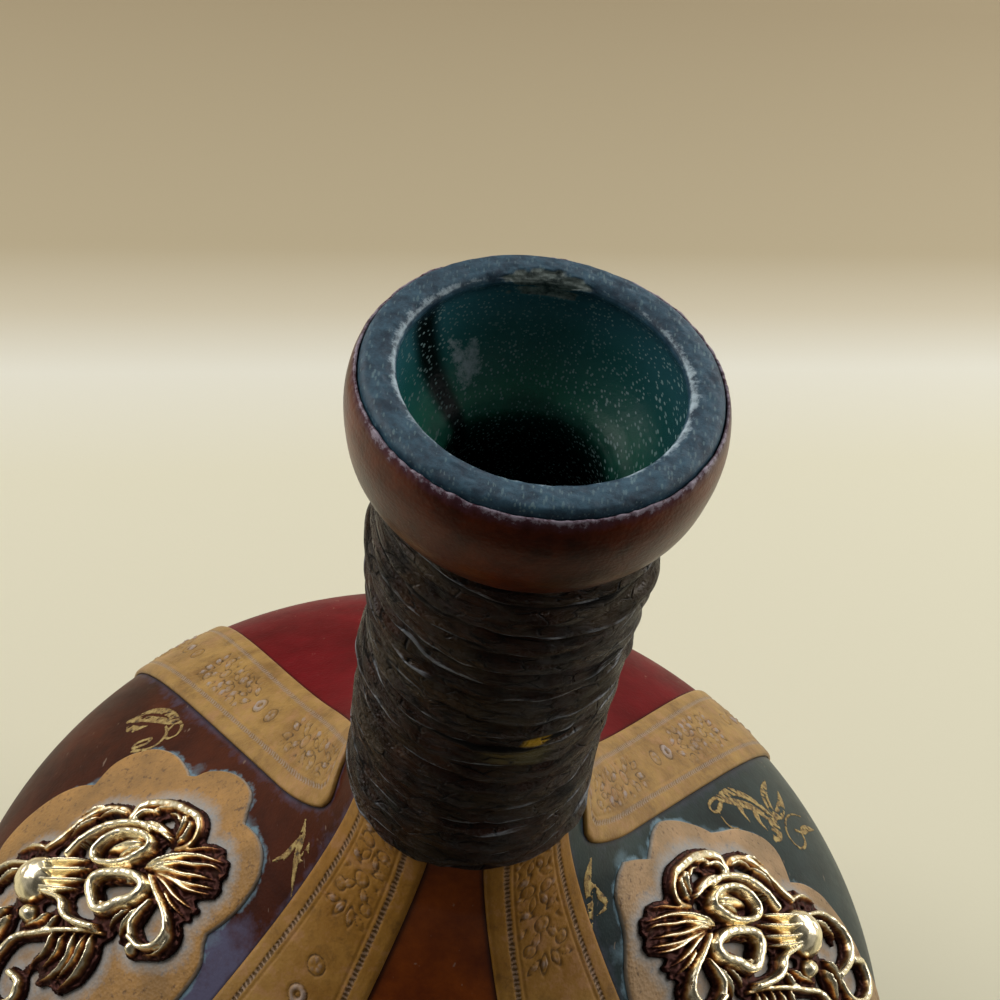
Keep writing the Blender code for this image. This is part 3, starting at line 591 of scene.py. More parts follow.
# The tooled figures in one repeat of 40 mm: flower heads and an eyelet as a place across, a place
# along and a radius, and half of a spray of leaves, which is mirrored, as the middle of each leaf,
# its half length and half width, and its turn in degrees from the line across
REPEAT = 40
strap_blooms = [(0.3, 3.2, 1.35), (-3.6, 16.6, 1.1), (3.4, 17.6, 1.1), (-1.4, 20.6, 1.0),
                (1.6, 21.2, 0.9), (-4.0, 24.2, 1.1), (4.1, 24.6, 1.1), (0.0, 27.2, 1.1),
                (-2.6, 30.6, 0.9), (2.6, 31, 0.9)]
strap_eyelets = [(0.2, 8.6, 1.0)]
half_spray = [(1.5, 13.6, 1.2, 0.6, 60), (2.9, 14.9, 1.1, 0.55, 20), (0.7, 16.2, 1.0, 0.5, 75),
              (1.9, 18.6, 1.3, 0.65, 40), (4.6, 20.6, 1.0, 0.5, 80), (3.1, 21.6, 1.2, 0.6, 10),
              (0.9, 23.2, 1.1, 0.55, 70), (2.3, 24.4, 1.2, 0.6, -35), (1.4, 29.4, 1.2, 0.6, 55),
              (3.7, 27.6, 1.1, 0.55, 30), (4.4, 30.0, 1.0, 0.5, -50), (1.0, 33.6, 1.3, 0.6, 75),
              (2.6, 33.4, 1.1, 0.5, 35)]
strap_leaves = [(way * x, y, long, short, np.radians(90 + way * (lean - 90)))
                for x, y, long, short, lean in half_spray for way in (1, -1)]


def rotated(x, y, angle):
    """x and y measured along axes that are turned by an angle in radians."""
    return x * np.cos(angle) + y * np.sin(angle), y * np.cos(angle) - x * np.sin(angle)


def tooled_height(across, along):
    """How far the tooling stands up and is sunk, each 0 to 1.

    A flower head is (1 - (d/r)^2) times 0.7 + 0.3 cos(5 angle), sunk at its centre; an eyelet is a
    half round; a leaf is 1 - q^2 with q = |u| / long + (v / short)^2 along and across it, with a
    vein cut in; and what is within 0.3 mm outside any figure is beaten down.
    """
    raised, apart = np.zeros(across.shape), np.full(across.shape, 9.0)
    for x, y, radius in strap_blooms:
        dx, dy = across - x, along % REPEAT - y
        q = np.hypot(dx, dy) / radius
        petals = 0.7 + 0.3 * np.cos(5 * np.arctan2(dy, dx) + 3 * y)
        raised = np.maximum(raised, np.clip(1 - q**2, 0, 1) * petals - 0.7 * np.exp(-(q / 0.28)**2))
        apart = np.minimum(apart, (q - 1) * radius)
    for x, y, radius in strap_eyelets:
        d = np.abs(np.hypot(across - x, along % REPEAT - y) - radius)
        raised = np.maximum(raised, np.sqrt(np.clip(1 - (d / 0.45)**2, 0, 1)))
        apart = np.minimum(apart, d - 0.45)
    for x, y, long, short, lean in strap_leaves:
        u, v = rotated(across - x, along % REPEAT - y, lean)
        q = np.abs(u) / long + (v / short)**2
        leaf = np.clip(1 - q**2, 0, 1) - 0.6 * np.exp(-(v / 0.12)**2) * (q < 0.9)
        raised = np.maximum(raised, leaf)
        apart = np.minimum(apart, (q - 1) * short)
    worn = np.clip(0.62 + 0.7 * soft_noise(across * 0.9 + 50, along * 0.9, 45), 0.1, 1)
    return np.clip(raised, 0, 1) * worn, np.exp(-((apart - 0.12) / 0.2)**2)


# Veg-tanned hide, tooled and antiqued: ochre tan, painted darker and more yellow towards the neck in
# front as painted shade, brown stain down in the tooling deepened by painted shade, the raised figures
# rubbed a pinkish grey that is partly painted highlight, and milled borders, their pits painted darker
# on the front straps as shade
hide, place, colour, height = start_leather("tooled_hide_antiqued", "#85602c", "#ac8646", 8, 0.6)
edge, along, tooled, sunk, shaded, front_pit_shade = (
    add_node(hide, "ShaderNodeAttribute", output="Fac", attribute_name=field)
    for field in ("edge", "along", "tooled", "sunk", "shaded", "front_pit_shade"))
fine = add_node(hide, "ShaderNodeTexNoise", {"Vector": place, "Scale": 800, "Detail": 7,
                                             "Roughness": 0.75})
fibres = add_node(hide, "ShaderNodeTexNoise", {"Vector": place, "Scale": 230, "Detail": 8,
                                               "Roughness": 0.76})
stain = add_node(hide, "ShaderNodeMapRange", {
    "Value": fibres, "From Min": 0.53, "From Max": 0.66, "To Max": 0.45})
blush = add_node(hide, "ShaderNodeMapRange", {
    "Value": fibres, "From Min": 0.48, "From Max": 0.38, "To Max": 0.45})
wobble = add_node(hide, "ShaderNodeMath", {0: fine, 1: 0.7, 2: edge}, operation="MULTIPLY_ADD")
border = add_node(hide, "ShaderNodeMath", {0: wobble, 1: 3.25}, operation="SUBTRACT")
border = add_node(hide, "ShaderNodeMath", {0: border}, operation="ABSOLUTE")
border = add_node(hide, "ShaderNodeMapRange", {"Value": border, "From Min": 0.22, "From Max": 0.5,
                                               "To Min": 1.0, "To Max": 0.0})
milled = add_node(hide, "ShaderNodeMath", {0: fine, 1: 1.6, 2: along}, operation="MULTIPLY_ADD")
milled = add_node(hide, "ShaderNodeMath", {0: milled, 1: 7.5}, operation="MULTIPLY")
milled = add_node(hide, "ShaderNodeMath", {0: milled}, operation="SINE")
pit = add_node(hide, "ShaderNodeMapRange", {"Value": milled, "From Min": -0.5, "From Max": 0.3})
pit = add_node(hide, "ShaderNodeMath", {0: pit, 1: border}, operation="MULTIPLY")
# Painted shade: the border's pits are painted darker on the front straps than on the back ones
pit = add_node(hide, "ShaderNodeMath", {0: pit, 1: front_pit_shade}, operation="MULTIPLY")
bead = add_node(hide, "ShaderNodeMapRange", {"Value": milled, "From Min": 0.5, "From Max": -0.6})
bead = add_node(hide, "ShaderNodeMath", {0: bead, 1: border}, operation="MULTIPLY")
# Dark in the sunk ground round the figures and in the border's pits: partly antique stain, partly
# painted shade
deep = add_node(hide, "ShaderNodeMath", {0: sunk, 1: fine}, operation="MULTIPLY")
deep = add_node(hide, "ShaderNodeMapRange", {"Value": deep, "From Min": 0.22, "From Max": 0.5,
                                             "To Max": 0.75})
deep = add_node(hide, "ShaderNodeMath", {0: pit, 1: 0.75, 2: deep}, operation="MULTIPLY_ADD")
# The pale rub on raised figures and beads is partly wear and partly painted highlight; painted shade
# holds it back on the front straps
worn = add_node(hide, "ShaderNodeMath", {0: tooled, 1: fine}, operation="MULTIPLY")
worn = add_node(hide, "ShaderNodeMapRange", {"Value": worn, "From Min": 0.06, "From Max": 0.34,
                                             "To Max": 0.85})
worn = add_node(hide, "ShaderNodeMath", {0: bead, 1: 0.6, 2: worn}, operation="MULTIPLY_ADD")
less = add_node(hide, "ShaderNodeMapRange", {"Value": shaded, "To Min": 1.0, "To Max": 0.35})
worn = add_node(hide, "ShaderNodeMath", {0: worn, 1: less}, operation="MULTIPLY")
height = add_node(hide, "ShaderNodeMath", {0: height, 1: 0.35, 2: fibres}, operation="MULTIPLY_ADD")
height = add_node(hide, "ShaderNodeMath", {0: pit, 1: -1.4, 2: height}, operation="MULTIPLY_ADD")
finish_material(hide, colour, 0.44, height, 0.09, [
    (shaded, linear("#98640e")), (stain, linear("#52340f")), (blush, linear("#b0805a")),
    (deep, linear("#34210f")), (worn, linear("#a3958f"))], Specular_IOR_Level=0.35)

STRAP_COLUMNS = 96
strap_length = np.linspace(LEATHER_START, length_under_belly(52), 660)
for end in ("front", "back"):
    near, far = strap_edges(end, radius_at(strap_length))
    for side, sign in (("right", 1), ("left", -1)):
        rows, length, turn_at = sheet_rows(strap_length, near, far, STRAP_COLUMNS, PANEL_TOP,
                                           STRAP_TOP, 0.9)
        from_near, from_far = strap_fields(end, length, turn_at)
        edge_at = np.minimum(from_near, from_far)
        middle = (from_near - from_far) / 2
        along_at = length / MM + (13 if end == "front" else 0) + 4 * (side == "left")
        raised, sunken = tooled_height(middle * sign, along_at)
        inner = np.clip((edge_at - 4.0) / 0.6, 0, 1)
        raised, sunken = raised * inner, sunken * inner
        groove = np.exp(-((edge_at - 2.8) / 0.3)**2) + np.exp(-((edge_at - 3.9) / 0.2)**2)
        top = (np.arange(rows.shape[1]) < STRAP_COLUMNS)[None]
        lift = top * (0.34 * raised - 0.16 * sunken - 0.12 * groove)
        radial = on_body(length, turn_at, 1.0) - on_body(length, turn_at, 0.0)
        rows = (rows + radial * lift[..., None] * MM) * (sign, 1, 1)
        # Painted shade: the front straps are painted darker and more yellow near the neck
        shade = 0.75 if end == "front" else 0.1
        strap = add_rows(f"tooled_strap_{end}_{side}", rows, hide, fields={
            "edge": edge_at, "along": length / MM, "tooled": raised, "sunk": sunken,
            "front_pit_shade": np.full(edge_at.shape, 1.0 if end == "front" else 0.35),
            "shaded": np.clip(1.25 - length / (45 * MM), 0, 1) * shade})
        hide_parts(f"strap_{end}_{side}")

# The gold tooling on the side panels: scrolls and sprigs of gold leaf, pressed into the wet calf
# with hot brass tools and worn thin. It is part of the leather, and is made as thin cut sheets.


def add_cut_sheet(name, x, y, low, high, kept, side, material, fields=None):
    """A closed piece from the kept points of a grid: a top skin, a bottom skin, and walls wherever
    a kept cell has no kept neighbour. x and y are distances across and down, low and high lifts."""
    count = x.size
    index = np.arange(count).reshape(x.shape)
    cell = kept[:-1, :-1] & kept[1:, :-1] & kept[:-1, 1:] & kept[1:, 1:]
    corners = np.stack([index[:-1, :-1], index[:-1, 1:], index[1:, 1:], index[1:, :-1]], -1)
    top = corners[cell]
    walls = []
    padded = np.pad(cell, 1)
    for rows, columns, first, second in ((slice(0, -2), slice(1, -1), 0, 1),
                                         (slice(1, -1), slice(2, None), 1, 2),
                                         (slice(2, None), slice(1, -1), 2, 3),
                                         (slice(1, -1), slice(0, -2), 3, 0)):
        bare = corners[cell & ~padded[rows, columns]]
        start, end = bare[:, first], bare[:, second]
        walls.append(np.stack([end, start, start + count, end + count], -1))
    faces = np.concatenate([top, top[:, ::-1] + count, *walls])
    points = np.concatenate([from_local(x, y, side, lift).reshape(-1, 3) for lift in (high, low)])
    used, faces = np.unique(faces, return_inverse=True)
    fields = {field: np.tile(values.ravel(), 2)[used] for field, values in (fields or {}).items()}
    return add_mesh(name, points[used], [faces.reshape(-1, 4)], material, fields)


def raise_strokes(x, y, strokes):
    """Height and distance of a drawing in relief. A stroke is a line of points with a half width and
    a height that taper to its ends. A scroll's or a ring's section is flat on top, 1.3 (1 - q^2)^0.6
    held at 1, a leaf's is a ridge, (1 - q)^0.8, and a dot's is half round. Where strokes cross, the
    higher one shows. The distance is from the nearest edge, and the third result is a sum over the
    strokes of exp(-(distance / 0.9)^2), which is over 1 between strokes that lie close."""
    height, outside, crowd = np.zeros(x.shape), np.full(x.shape, 9.0), np.zeros(x.shape)
    for kind, half_width, rise, points in strokes:
        line = smooth_line(points, 6, closed=kind == "ring")
        low, high = line.min(0) - half_width - 4, line.max(0) + half_width + 4
        near = (x > low[0]) & (x < high[0]) & (y > low[1]) & (y < high[1])
        apart, share = distance_to_line(x[near], y[near], line, kind == "ring")
        if kind in ("ring", "dot"):
            wide = np.ones(share.shape)
        elif kind == "leaf":
            wide = np.sqrt(np.clip(share * 5, 0.15, 1)) * np.sqrt(np.clip((1 - share) * 1.8, 0.06, 1))
        else:
            wide = 0.6 + 0.4 * np.clip(share * 2, 0, 1)
        q = np.clip(apart / (half_width * wide), 0, 1)
        body = {"dot": np.sqrt(1 - q**2), "leaf": (1 - q)**0.8}.get(
            kind, np.minimum(1.3 * (1 - q**2)**0.6, 1 + 0.1 * (1 - q)))
        height[near] = np.maximum(height[near], rise * wide**0.5 * body)
        apart = apart - half_width * wide
        outside[near] = np.minimum(outside[near], apart)
        crowd[near] += np.exp(-(np.clip(apart, 0, 5) / 0.9)**2)
    return height, outside, crowd


gold_strokes = {
    "right": [
        ("ring", 0.35, 1, [(30.2, -2.6), (28.6, -5.2), (26.2, -7.6), (24.8, -7.8), (25.4, -6.2),
                           (27.4, -4.2)]),
        ("leaf", 2.1, 1, [(29.6, -3.4), (33.2, 3), (34.2, 8), (32.8, 11.4), (29.4, 10.8), (27.4, 9.2)]),
        ("leaf", 0.8, 1, [(32.4, 3), (30, 2.2), (28.2, 3.2)]),
        ("leaf", 0.8, 1, [(33, 7.2), (30.4, 6.6), (28.8, 8)]),
        ("scroll", 0.3, 1, [(29.6, -2.8), (26.4, -5.4), (24, -5.2), (23.4, -3.6), (24.2, -1.6)]),
        ("leaf", 1.1, 1, [(33.8, 13), (37.4, 13.4), (40.8, 14.8), (45.6, 18.6)]),
        ("leaf", 1.0, 1, [(34.2, 13.6), (37.6, 16.8), (41.2, 19.6), (44.6, 21.4)]),
        ("scroll", 0.35, 1, [(41, 25.1), (39.4, 21.4), (36.4, 17.6), (32.6, 15.2), (30.4, 15.4),
                             (30, 17.8), (32.6, 20.6), (35, 21), (34.6, 19)]),
        ("leaf", 0.8, 1, [(35, 21), (38, 24.6), (40.2, 29)]),
        ("leaf", 0.9, 1, [(-4.2, -46.6), (-7, -45.4), (-8.6, -43.6), (-10.6, -41.2), (-14.4, -37.6)]),
        ("leaf", 0.7, 1, [(-7.2, -45), (-7.6, -42), (-8.2, -39), (-10.6, -39.6)]),
    ],
    "left": [
        ("leaf", 1.9, 1, [(37.6, 14.6), (38, 11), (36.4, 7), (34.2, 3.4), (32.6, 1)]),
        ("leaf", 0.9, 1, [(35.6, 13.4), (34.2, 11), (34.2, 8.4)]),
        ("ring", 0.35, 1, [(32.9, 1.2), (31.2, -0.8), (28.8, -1.6), (28.3, 0), (30.4, 1.6)]),
        ("scroll", 0.45, 1, [(32.4, 3.2), (30, 1.4), (27.6, 1.2), (26.6, 3), (27.2, 6.4)]),
        ("dot", 1.2, 1, [(28.8, 6.4), (29, 4.8)]),
        ("leaf", 0.7, 1, [(-2.6, -44), (-5.2, -42.8), (-7.2, -41.2), (-9.8, -39.6), (-13.2, -37.4)]),
        ("leaf", 0.6, 1, [(-6.8, -36.1), (-6.8, -38.4), (-5.3, -41.7), (-4.7, -42.9)]),
        ("leaf", 0.6, 1, [(-8.5, -40.6), (-7.6, -43), (-6.2, -44.3)]),
    ],
}
# Gold leaf, pressed and worn: a soft brassy yellow that shows the leather through in specks
leaf_gold = new_material("gold_leaf_tooled")
place = add_node(leaf_gold, "ShaderNodeTexCoord", output="Object")
wear = add_node(leaf_gold, "ShaderNodeTexNoise", {"Vector": place, "Scale": 900, "Detail": 5,
                                                  "Roughness": 0.7})
colour = add_node(leaf_gold, "ShaderNodeValToRGB", {"Fac": wear}, stops=[
    (0.36, linear("#3a2a18")), (0.46, linear("#8a6c38")), (0.60, linear("#b29a5e"))])
finish_material(leaf_gold, colour, 0.5, wear, 0.05, Metallic=0.3)
GOLD_GRID, GOLD_LOW, GOLD_TOP = 0.16, 1.35, 1.52
for side, where in ((1, "right"), (-1, "left")):
    for name, low, high in (("scrolls", (22, -10), (48, 32)), ("sprig", (-17, -48), (0, -34))):
        x, y = np.meshgrid(np.arange(low[0], high[0], GOLD_GRID),
                           np.arange(low[1], high[1], GOLD_GRID), indexing="ij")
        shape, outside, _ = raise_strokes(x, y, gold_strokes[where])
        # Bare are a vein along each broad leaf, and specks and streaks where the gold wore off
        veins = (shape > 0.88) & (outside < -0.9)
        holes = veins | (soft_noise(x * 1.6 + 7, y * 0.7 + 60, 41) > 0.62) & (outside < -0.2)
        add_cut_sheet(f"gold_tooling_{name}_{where}", x, y, np.full(x.shape, GOLD_LOW),
                      GOLD_TOP + 0.06 * np.clip(shape, 0, 1), (outside < 0) & ~holes, side, leaf_gold)

# The two mounts: brass cast in rococo scrolls and leaves about an oval, a chased shield, a shell
# and a burnished boss, fire-gilt, and seated on the patches.

mount_strokes = [
    ("scroll", 0.8, 1.8, [(-0.9, -22.7), (-1.5, -25.4), (0, -27.4), (2.6, -27.2), (5.2, -24.8),
                          (8.1, -21.5), (10.4, -17.6), (11.2, -14.6), (9.8, -13.2)]),
    ("leaf", 0.6, 2.3, [(-0.2, -22.9), (0.4, -25), (2.2, -26), (3.6, -24.2)]),
    ("leaf", 0.7, 2.5, [(4.2, -25), (2.5, -24.5), (0.9, -22.4)]),
    ("leaf", 0.5, 2.2, [(3, -24), (5.2, -23), (7, -20.4)]),
    ("leaf", 0.6, 2.1, [(6.8, -22.6), (8.6, -19), (8.6, -16.4)]),
    ("scroll", 0.5, 2.2, [(8.1, -18.6), (9.6, -15.8), (8.8, -14.2), (6.8, -15.8), (5.2, -17.6)]),
    ("scroll", 0.7, 1.7, [(9.4, -13.6), (12.6, -11), (14.8, -6.6), (14.8, -2.4), (13.4, 1.4),
                          (12.6, 4.6)]),
    ("leaf", 0.6, 2.3, [(11, -12), (13.2, -8.8), (13.4, -5)]),
    ("leaf", 0.6, 2.1, [(14.8, -7.6), (16, -4), (15.2, 0.4)]),
    ("leaf", 0.5, 2.2, [(13.6, -6), (13.6, -2.4), (12.2, 0.6)]),
    ("scroll", 0.65, 2.4, [(1.3, -21.8), (4.1, -19.4), (7.5, -15), (9.6, -10.6), (10.4, -6.8),
                           (10, -3.2), (8.6, -0.6)]),
    ("leaf", 0.6, 2.4, [(2.2, -21.8), (5.6, -18.8), (8.2, -14.8)]),
    ("ring", 0.65, 3.0, [(1.6, -18.5), (4.4, -16.6), (6.7, -12.6), (7.2, -9), (6, -6.9), (4.2, -7),
                         (2.3, -9.5), (1.0, -13), (0.9, -16.3)]),
    ("leaf", 1.6, 2.6, [(3.0, -16.6), (4.6, -12.6), (5.2, -8.6)]),
    ("leaf", 0.5, 3.2, [(1.4, -17.6), (2.6, -14.6), (2.8, -11)]),
    ("leaf", 0.5, 1.7, [(-1, -22.6), (-2.7, -26.5), (-3.8, -29.4), (-5.1, -31.3)]),
    ("leaf", 0.75, 2.7, [(-1.5, -16.4), (-1.7, -19.9), (-2.7, -23.8), (-4.6, -27.8), (-7.4, -31.4)]),
    ("leaf", 0.5, 2.2, [(-2.4, -21.8), (-4.4, -24.4), (-7.2, -29.6), (-8.8, -30.6)]),
    ("leaf", 0.5, 2.6, [(-1.6, -16.4), (-2.7, -20.5), (-3.9, -23.7), (-5.1, -25.8), (-6.5, -27.6)]),
    ("leaf", 0.75, 2.5, [(-2.2, -17.3), (-3.6, -20.6), (-5.8, -23.6), (-7.5, -26.5), (-9.2, -28.9)]),
    ("leaf", 0.5, 2.1, [(-4, -20.2), (-7, -23.2), (-9.6, -27), (-10.6, -28.6)]),
    ("leaf", 0.7, 2.3, [(-2.9, -18.2), (-5.8, -21.6), (-8, -23.4), (-9.6, -25.2), (-10.9, -27.2)]),
    ("leaf", 0.65, 2.1, [(-3.1, -18.1), (-5.8, -20.1), (-8.4, -21.3), (-10.2, -22.4), (-12, -23.6)]),
    ("leaf", 0.5, 2.0, [(-6.6, -19.6), (-9.6, -20.4), (-12.6, -21.6)]),
    ("scroll", 0.6, 2.6, [(-3.5, -17.6), (-5.7, -18), (-8.2, -18.7), (-11, -19), (-13.4, -18.2),
                          (-14.6, -15.6), (-13.8, -12.8), (-11.6, -11.6)]),
    ("leaf", 0.6, 2.1, [(-12.2, -19.2), (-14.6, -17.8), (-15.6, -14.6), (-14.8, -12)]),
    ("ring", 0.9, 3.0, [(-4.8, -16.4), (-2.3, -14.8), (-0.3, -11.4), (0.9, -7.9), (0.1, -6.1),
                        (-2.3, -6.1), (-4.4, -6.6), (-5.4, -8.3), (-5.4, -11.1), (-5.9, -14.2)]),
    ("scroll", 0.6, 2.2, [(-7.2, -16.4), (-8.2, -14.4), (-9.4, -12.4), (-11.6, -11.6)]),
    ("leaf", 0.7, 2.4, [(-7.4, -14.6), (-8.9, -11), (-10.9, -9.1)]),
    ("leaf", 0.5, 2.1, [(-6.8, -12.6), (-7.2, -9.6), (-8.6, -7.4)]),
    ("dot", 1.0, 2.4, [(-12.9, -10.9), (-13.3, -10.5)]),
    ("leaf", 0.9, 3.8, [(9.0, 4.6), (7, -0.4), (5.4, -5)]),
    ("leaf", 0.9, 4.0, [(7.6, 4.8), (5.4, 0.2), (3.6, -5.3)]),
    ("leaf", 0.8, 3.8, [(6, 5), (3.8, 0.6), (1.9, -4.6)]),
    ("leaf", 0.7, 3.4, [(5, 5.4), (2.8, 1.4), (1.2, -2.6)]),
    ("dot", 3.7, 4.4, [(7.1, 6.1), (7.4, 6.7)]),
    ("dot", 1.5, 2.8, [(1.2, 7.4), (1.7, 8)]),
    ("scroll", 0.65, 3.0, [(5, 5.8), (3.2, 3.6), (1.3, 1.2), (-0.4, -0.1), (-2.2, -0.2), (-3.9, -1.2),
                           (-5.8, -3.4), (-7.3, -5.5)]),
    ("scroll", 0.7, 2.3, [(11.6, 8.6), (13.6, 12.6), (13.8, 17), (12.2, 19.8), (9.4, 20), (6.4, 18.3),
                          (4, 16)]),
    ("leaf", 0.7, 2.2, [(12.4, 4.6), (14.6, 7.6), (15.4, 12)]),
    ("leaf", 0.6, 2.4, [(11, 9.6), (11.6, 13), (10.4, 16.6)]),
    ("leaf", 0.7, 2.8, [(3, 11.6), (1.2, 13.8), (-0.8, 15.8)]),
    ("leaf", 0.7, 2.6, [(4.8, 11.8), (4.2, 14.4), (2.2, 17)]),
    ("leaf", 0.6, 2.4, [(-0.6, 3), (-0.9, 5.6), (-0.2, 9.4)]),
    ("leaf", 0.6, 2.4, [(-1.6, 1.4), (-2.9, 3.4), (-2.4, 6.4)]),
    ("scroll", 0.7, 2.0, [(-8.6, -6.4), (-6.4, -2.8), (-4.2, 2), (-2.6, 6.8), (-1.5, 11), (-3.5, 15.5),
                          (-7, 18), (-10.5, 17), (-11.5, 13.6), (-9.4, 11.4), (-7, 12.6)]),
    ("leaf", 0.9, 2.3, [(-7.6, -4.8), (-10.8, -2.6), (-13, 1), (-13.6, 5)]),
    ("leaf", 0.6, 2.2, [(-7.2, -3.4), (-10.4, 0), (-12.2, 5)]),
    ("leaf", 0.8, 2.3, [(-5.8, -1.4), (-9.4, 0.8), (-11, 4.4), (-10.8, 8)]),
    ("leaf", 0.6, 2.2, [(-5.2, 0.6), (-8, 3), (-9.2, 7)]),
    ("leaf", 0.8, 2.1, [(-3.9, 2.6), (-6.6, 5), (-7.6, 9.4)]),
    ("scroll", 0.7, 2.2, [(4, 15.6), (1.5, 19.5), (2.8, 23.4), (6.4, 25.4), (9.6, 23.8), (9, 21)]),
    ("leaf", 0.9, 2.5, [(-0.6, 16.4), (-0.4, 21.4), (0.4, 26), (2.4, 30)]),
    ("leaf", 0.5, 2.2, [(-1.4, 16.6), (-1.8, 22), (-1, 28)]),
    ("leaf", 0.8, 2.3, [(-1.9, 16.8), (-3.6, 21.4), (-4.2, 25.6), (-3.4, 29.4)]),
    ("leaf", 0.6, 2.2, [(-2.8, 17.2), (-5.6, 21.6), (-6.8, 26.4)]),
    ("leaf", 0.7, 2.0, [(-3.6, 17.6), (-6.8, 20.4), (-9, 24)]),
]
# Holes through the casting, each a middle, two half widths and a turn in degrees
mount_holes = [(5.2, -19.9, 2.0, 1.2, 70), (12.6, -7.5, 2.8, 1.0, 75), (8.2, -4.2, 2.2, 1.2, 30),
               (-1.2, -3.2, 2.0, 1.2, 10), (-11.2, -15.6, 1.9, 1.6, 0), (4.9, 17.6, 1.6, 1.3, 0),
               (-9.2, 14.6, 1.4, 1.4, 0), (5.6, 22.4, 1.8, 1.4, 0), (9.6, 13.6, 2.0, 1.8, 60)]


def mount_form(x, y):
    """Height over the mount's seat, and distance outside the casting, for points across and down.

    Each leaf is cast 1.3 times as wide as its stroke, and the rest 1.12 times. A ground 0.7 mm high
    fills the gaps between strokes that lie close, and stands out 0.4 mm past the others. The
    shield's ground is raised and broken, as if chased.
    """
    height, outside, crowd = raise_strokes(x, y, [
        (kind, half_width * (1.3 if kind == "leaf" else 1.12), rise, points)
        for kind, half_width, rise, points in mount_strokes])
    outside = np.where(crowd > 0.8, np.minimum(outside, 0.2), outside)
    ground = 0.7 * np.sqrt(np.clip(1 - (np.clip(outside, 0, 2) / 0.4)**2, 0, 1))
    for middle_x, middle_y, long, short, angle in mount_holes:
        u, v = rotated(x - middle_x, y - middle_y, np.radians(angle))
        q = np.sqrt((u / long)**2 + (v / short)**2)
        in_hole = np.clip((1 - q) * 3, 0, 1) * (height < 0.6)
        outside = np.where(in_hole > 0.25, np.maximum(outside, 0.5), outside)
    shield = np.clip(1.4 - np.hypot((x + 2.6) / 3.2, (y + 10.6) / 4.6), 0, 1)
    chased = shield * (1.0 + 0.9 * soft_noise(x * 1.4 + 40, y * 0.8 + 40, 51))
    chased = chased + 0.35 * np.clip(1 - outside, 0, 1) * soft_noise(x * 1.3 + 60, y * 1.3 + 60, 54)
    return np.maximum(height, ground) + chased * (height < 1.2), outside, shield


# Fire-gilt brass, cast and burnished: mirror-bright pale gold on what a cloth rubs, and a brown and
# dark purple-brown patina left in the hollows
gilt = new_material("fire_gilt_brass_burnished")
place = add_node(gilt, "ShaderNodeTexCoord", output="Object")
relief = add_node(gilt, "ShaderNodeAttribute", output="Fac", attribute_name="relief")
cloud = add_node(gilt, "ShaderNodeTexNoise", {"Vector": place, "Scale": 380, "Detail": 6,
                                              "Roughness": 0.65})
shown = add_node(gilt, "ShaderNodeMath", {0: cloud, 1: 0.7, 2: relief}, operation="MULTIPLY_ADD")
colour = add_node(gilt, "ShaderNodeValToRGB", {"Fac": shown}, stops=[
    (0.42, linear("#3a231f")), (0.60, linear("#7a4c34")), (0.78, linear("#c29a60")),
    (0.92, linear("#fff2cf"))])
rough = add_node(gilt, "ShaderNodeMapRange", {
    "Value": shown, "From Min": 0.5, "From Max": 1.0, "To Min": 0.46, "To Max": 0.27})
finish_material(gilt, colour, rough, cloud, 0.05, Metallic=1.0)

MOUNT_GRID, MOUNT_LOW, MOUNT_SEAT = 0.18, 2.25, 2.4
x, y = np.meshgrid(np.arange(-17, 18.01, MOUNT_GRID), np.arange(-33, 32.01, MOUNT_GRID),
                   indexing="ij")
form, outside, shield = mount_form(x, y)
grain = (0.08 * soft_noise(x * 1.3 + 60, y * 1.3 + 60, 52)
         + 0.015 * soft_noise(x * 3 + 60, y * 3 + 60, 53))
polished = np.clip((form - 0.7) / 2.1 - 0.2 * shield, 0, 1)
# Each mount's shift on its patch and its lean in radians: the left one is set a little turned
mount_seat = {1: (0, 0, 0), -1: (-4.2, 4.8, 0.2)}
for side, where in ((1, "right"), (-1, "left")):
    shift_x, shift_y, lean = mount_seat[side]
    seat_x, seat_y = rotated(x, y, -lean)
    mount = add_cut_sheet(f"gilt_mount_cast_{where}", seat_x + shift_x, seat_y + shift_y,
                          np.full(x.shape, MOUNT_LOW), MOUNT_SEAT + form + grain * (form > 0.3),
                          outside < 0.38, side, gilt, {"relief": polished})
    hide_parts(f"gilt_mount_{where}")

# The two patches: thin tan calf with a lobed edge, cut by hand and glued on the side panels as a
# ground for the mounts.

patch_shares = np.concatenate([np.linspace(0.02, 0.965, 70), [0.98, 0.99, 0.997, 1.0]])
patch_edge = np.clip((1 - patch_shares) / 0.03, 0, 1)
patch_lifts = PANEL_TOP + (PATCH_TOP - PANEL_TOP) * (0.2 + 0.8 * np.sqrt(1 - (1 - patch_edge)**2))
patch_shares = np.append(patch_shares, [1.0, 0.5, 0.02])[:, None]
patch_lifts = np.append(patch_lifts, [PANEL_TOP] * 3)[:, None]
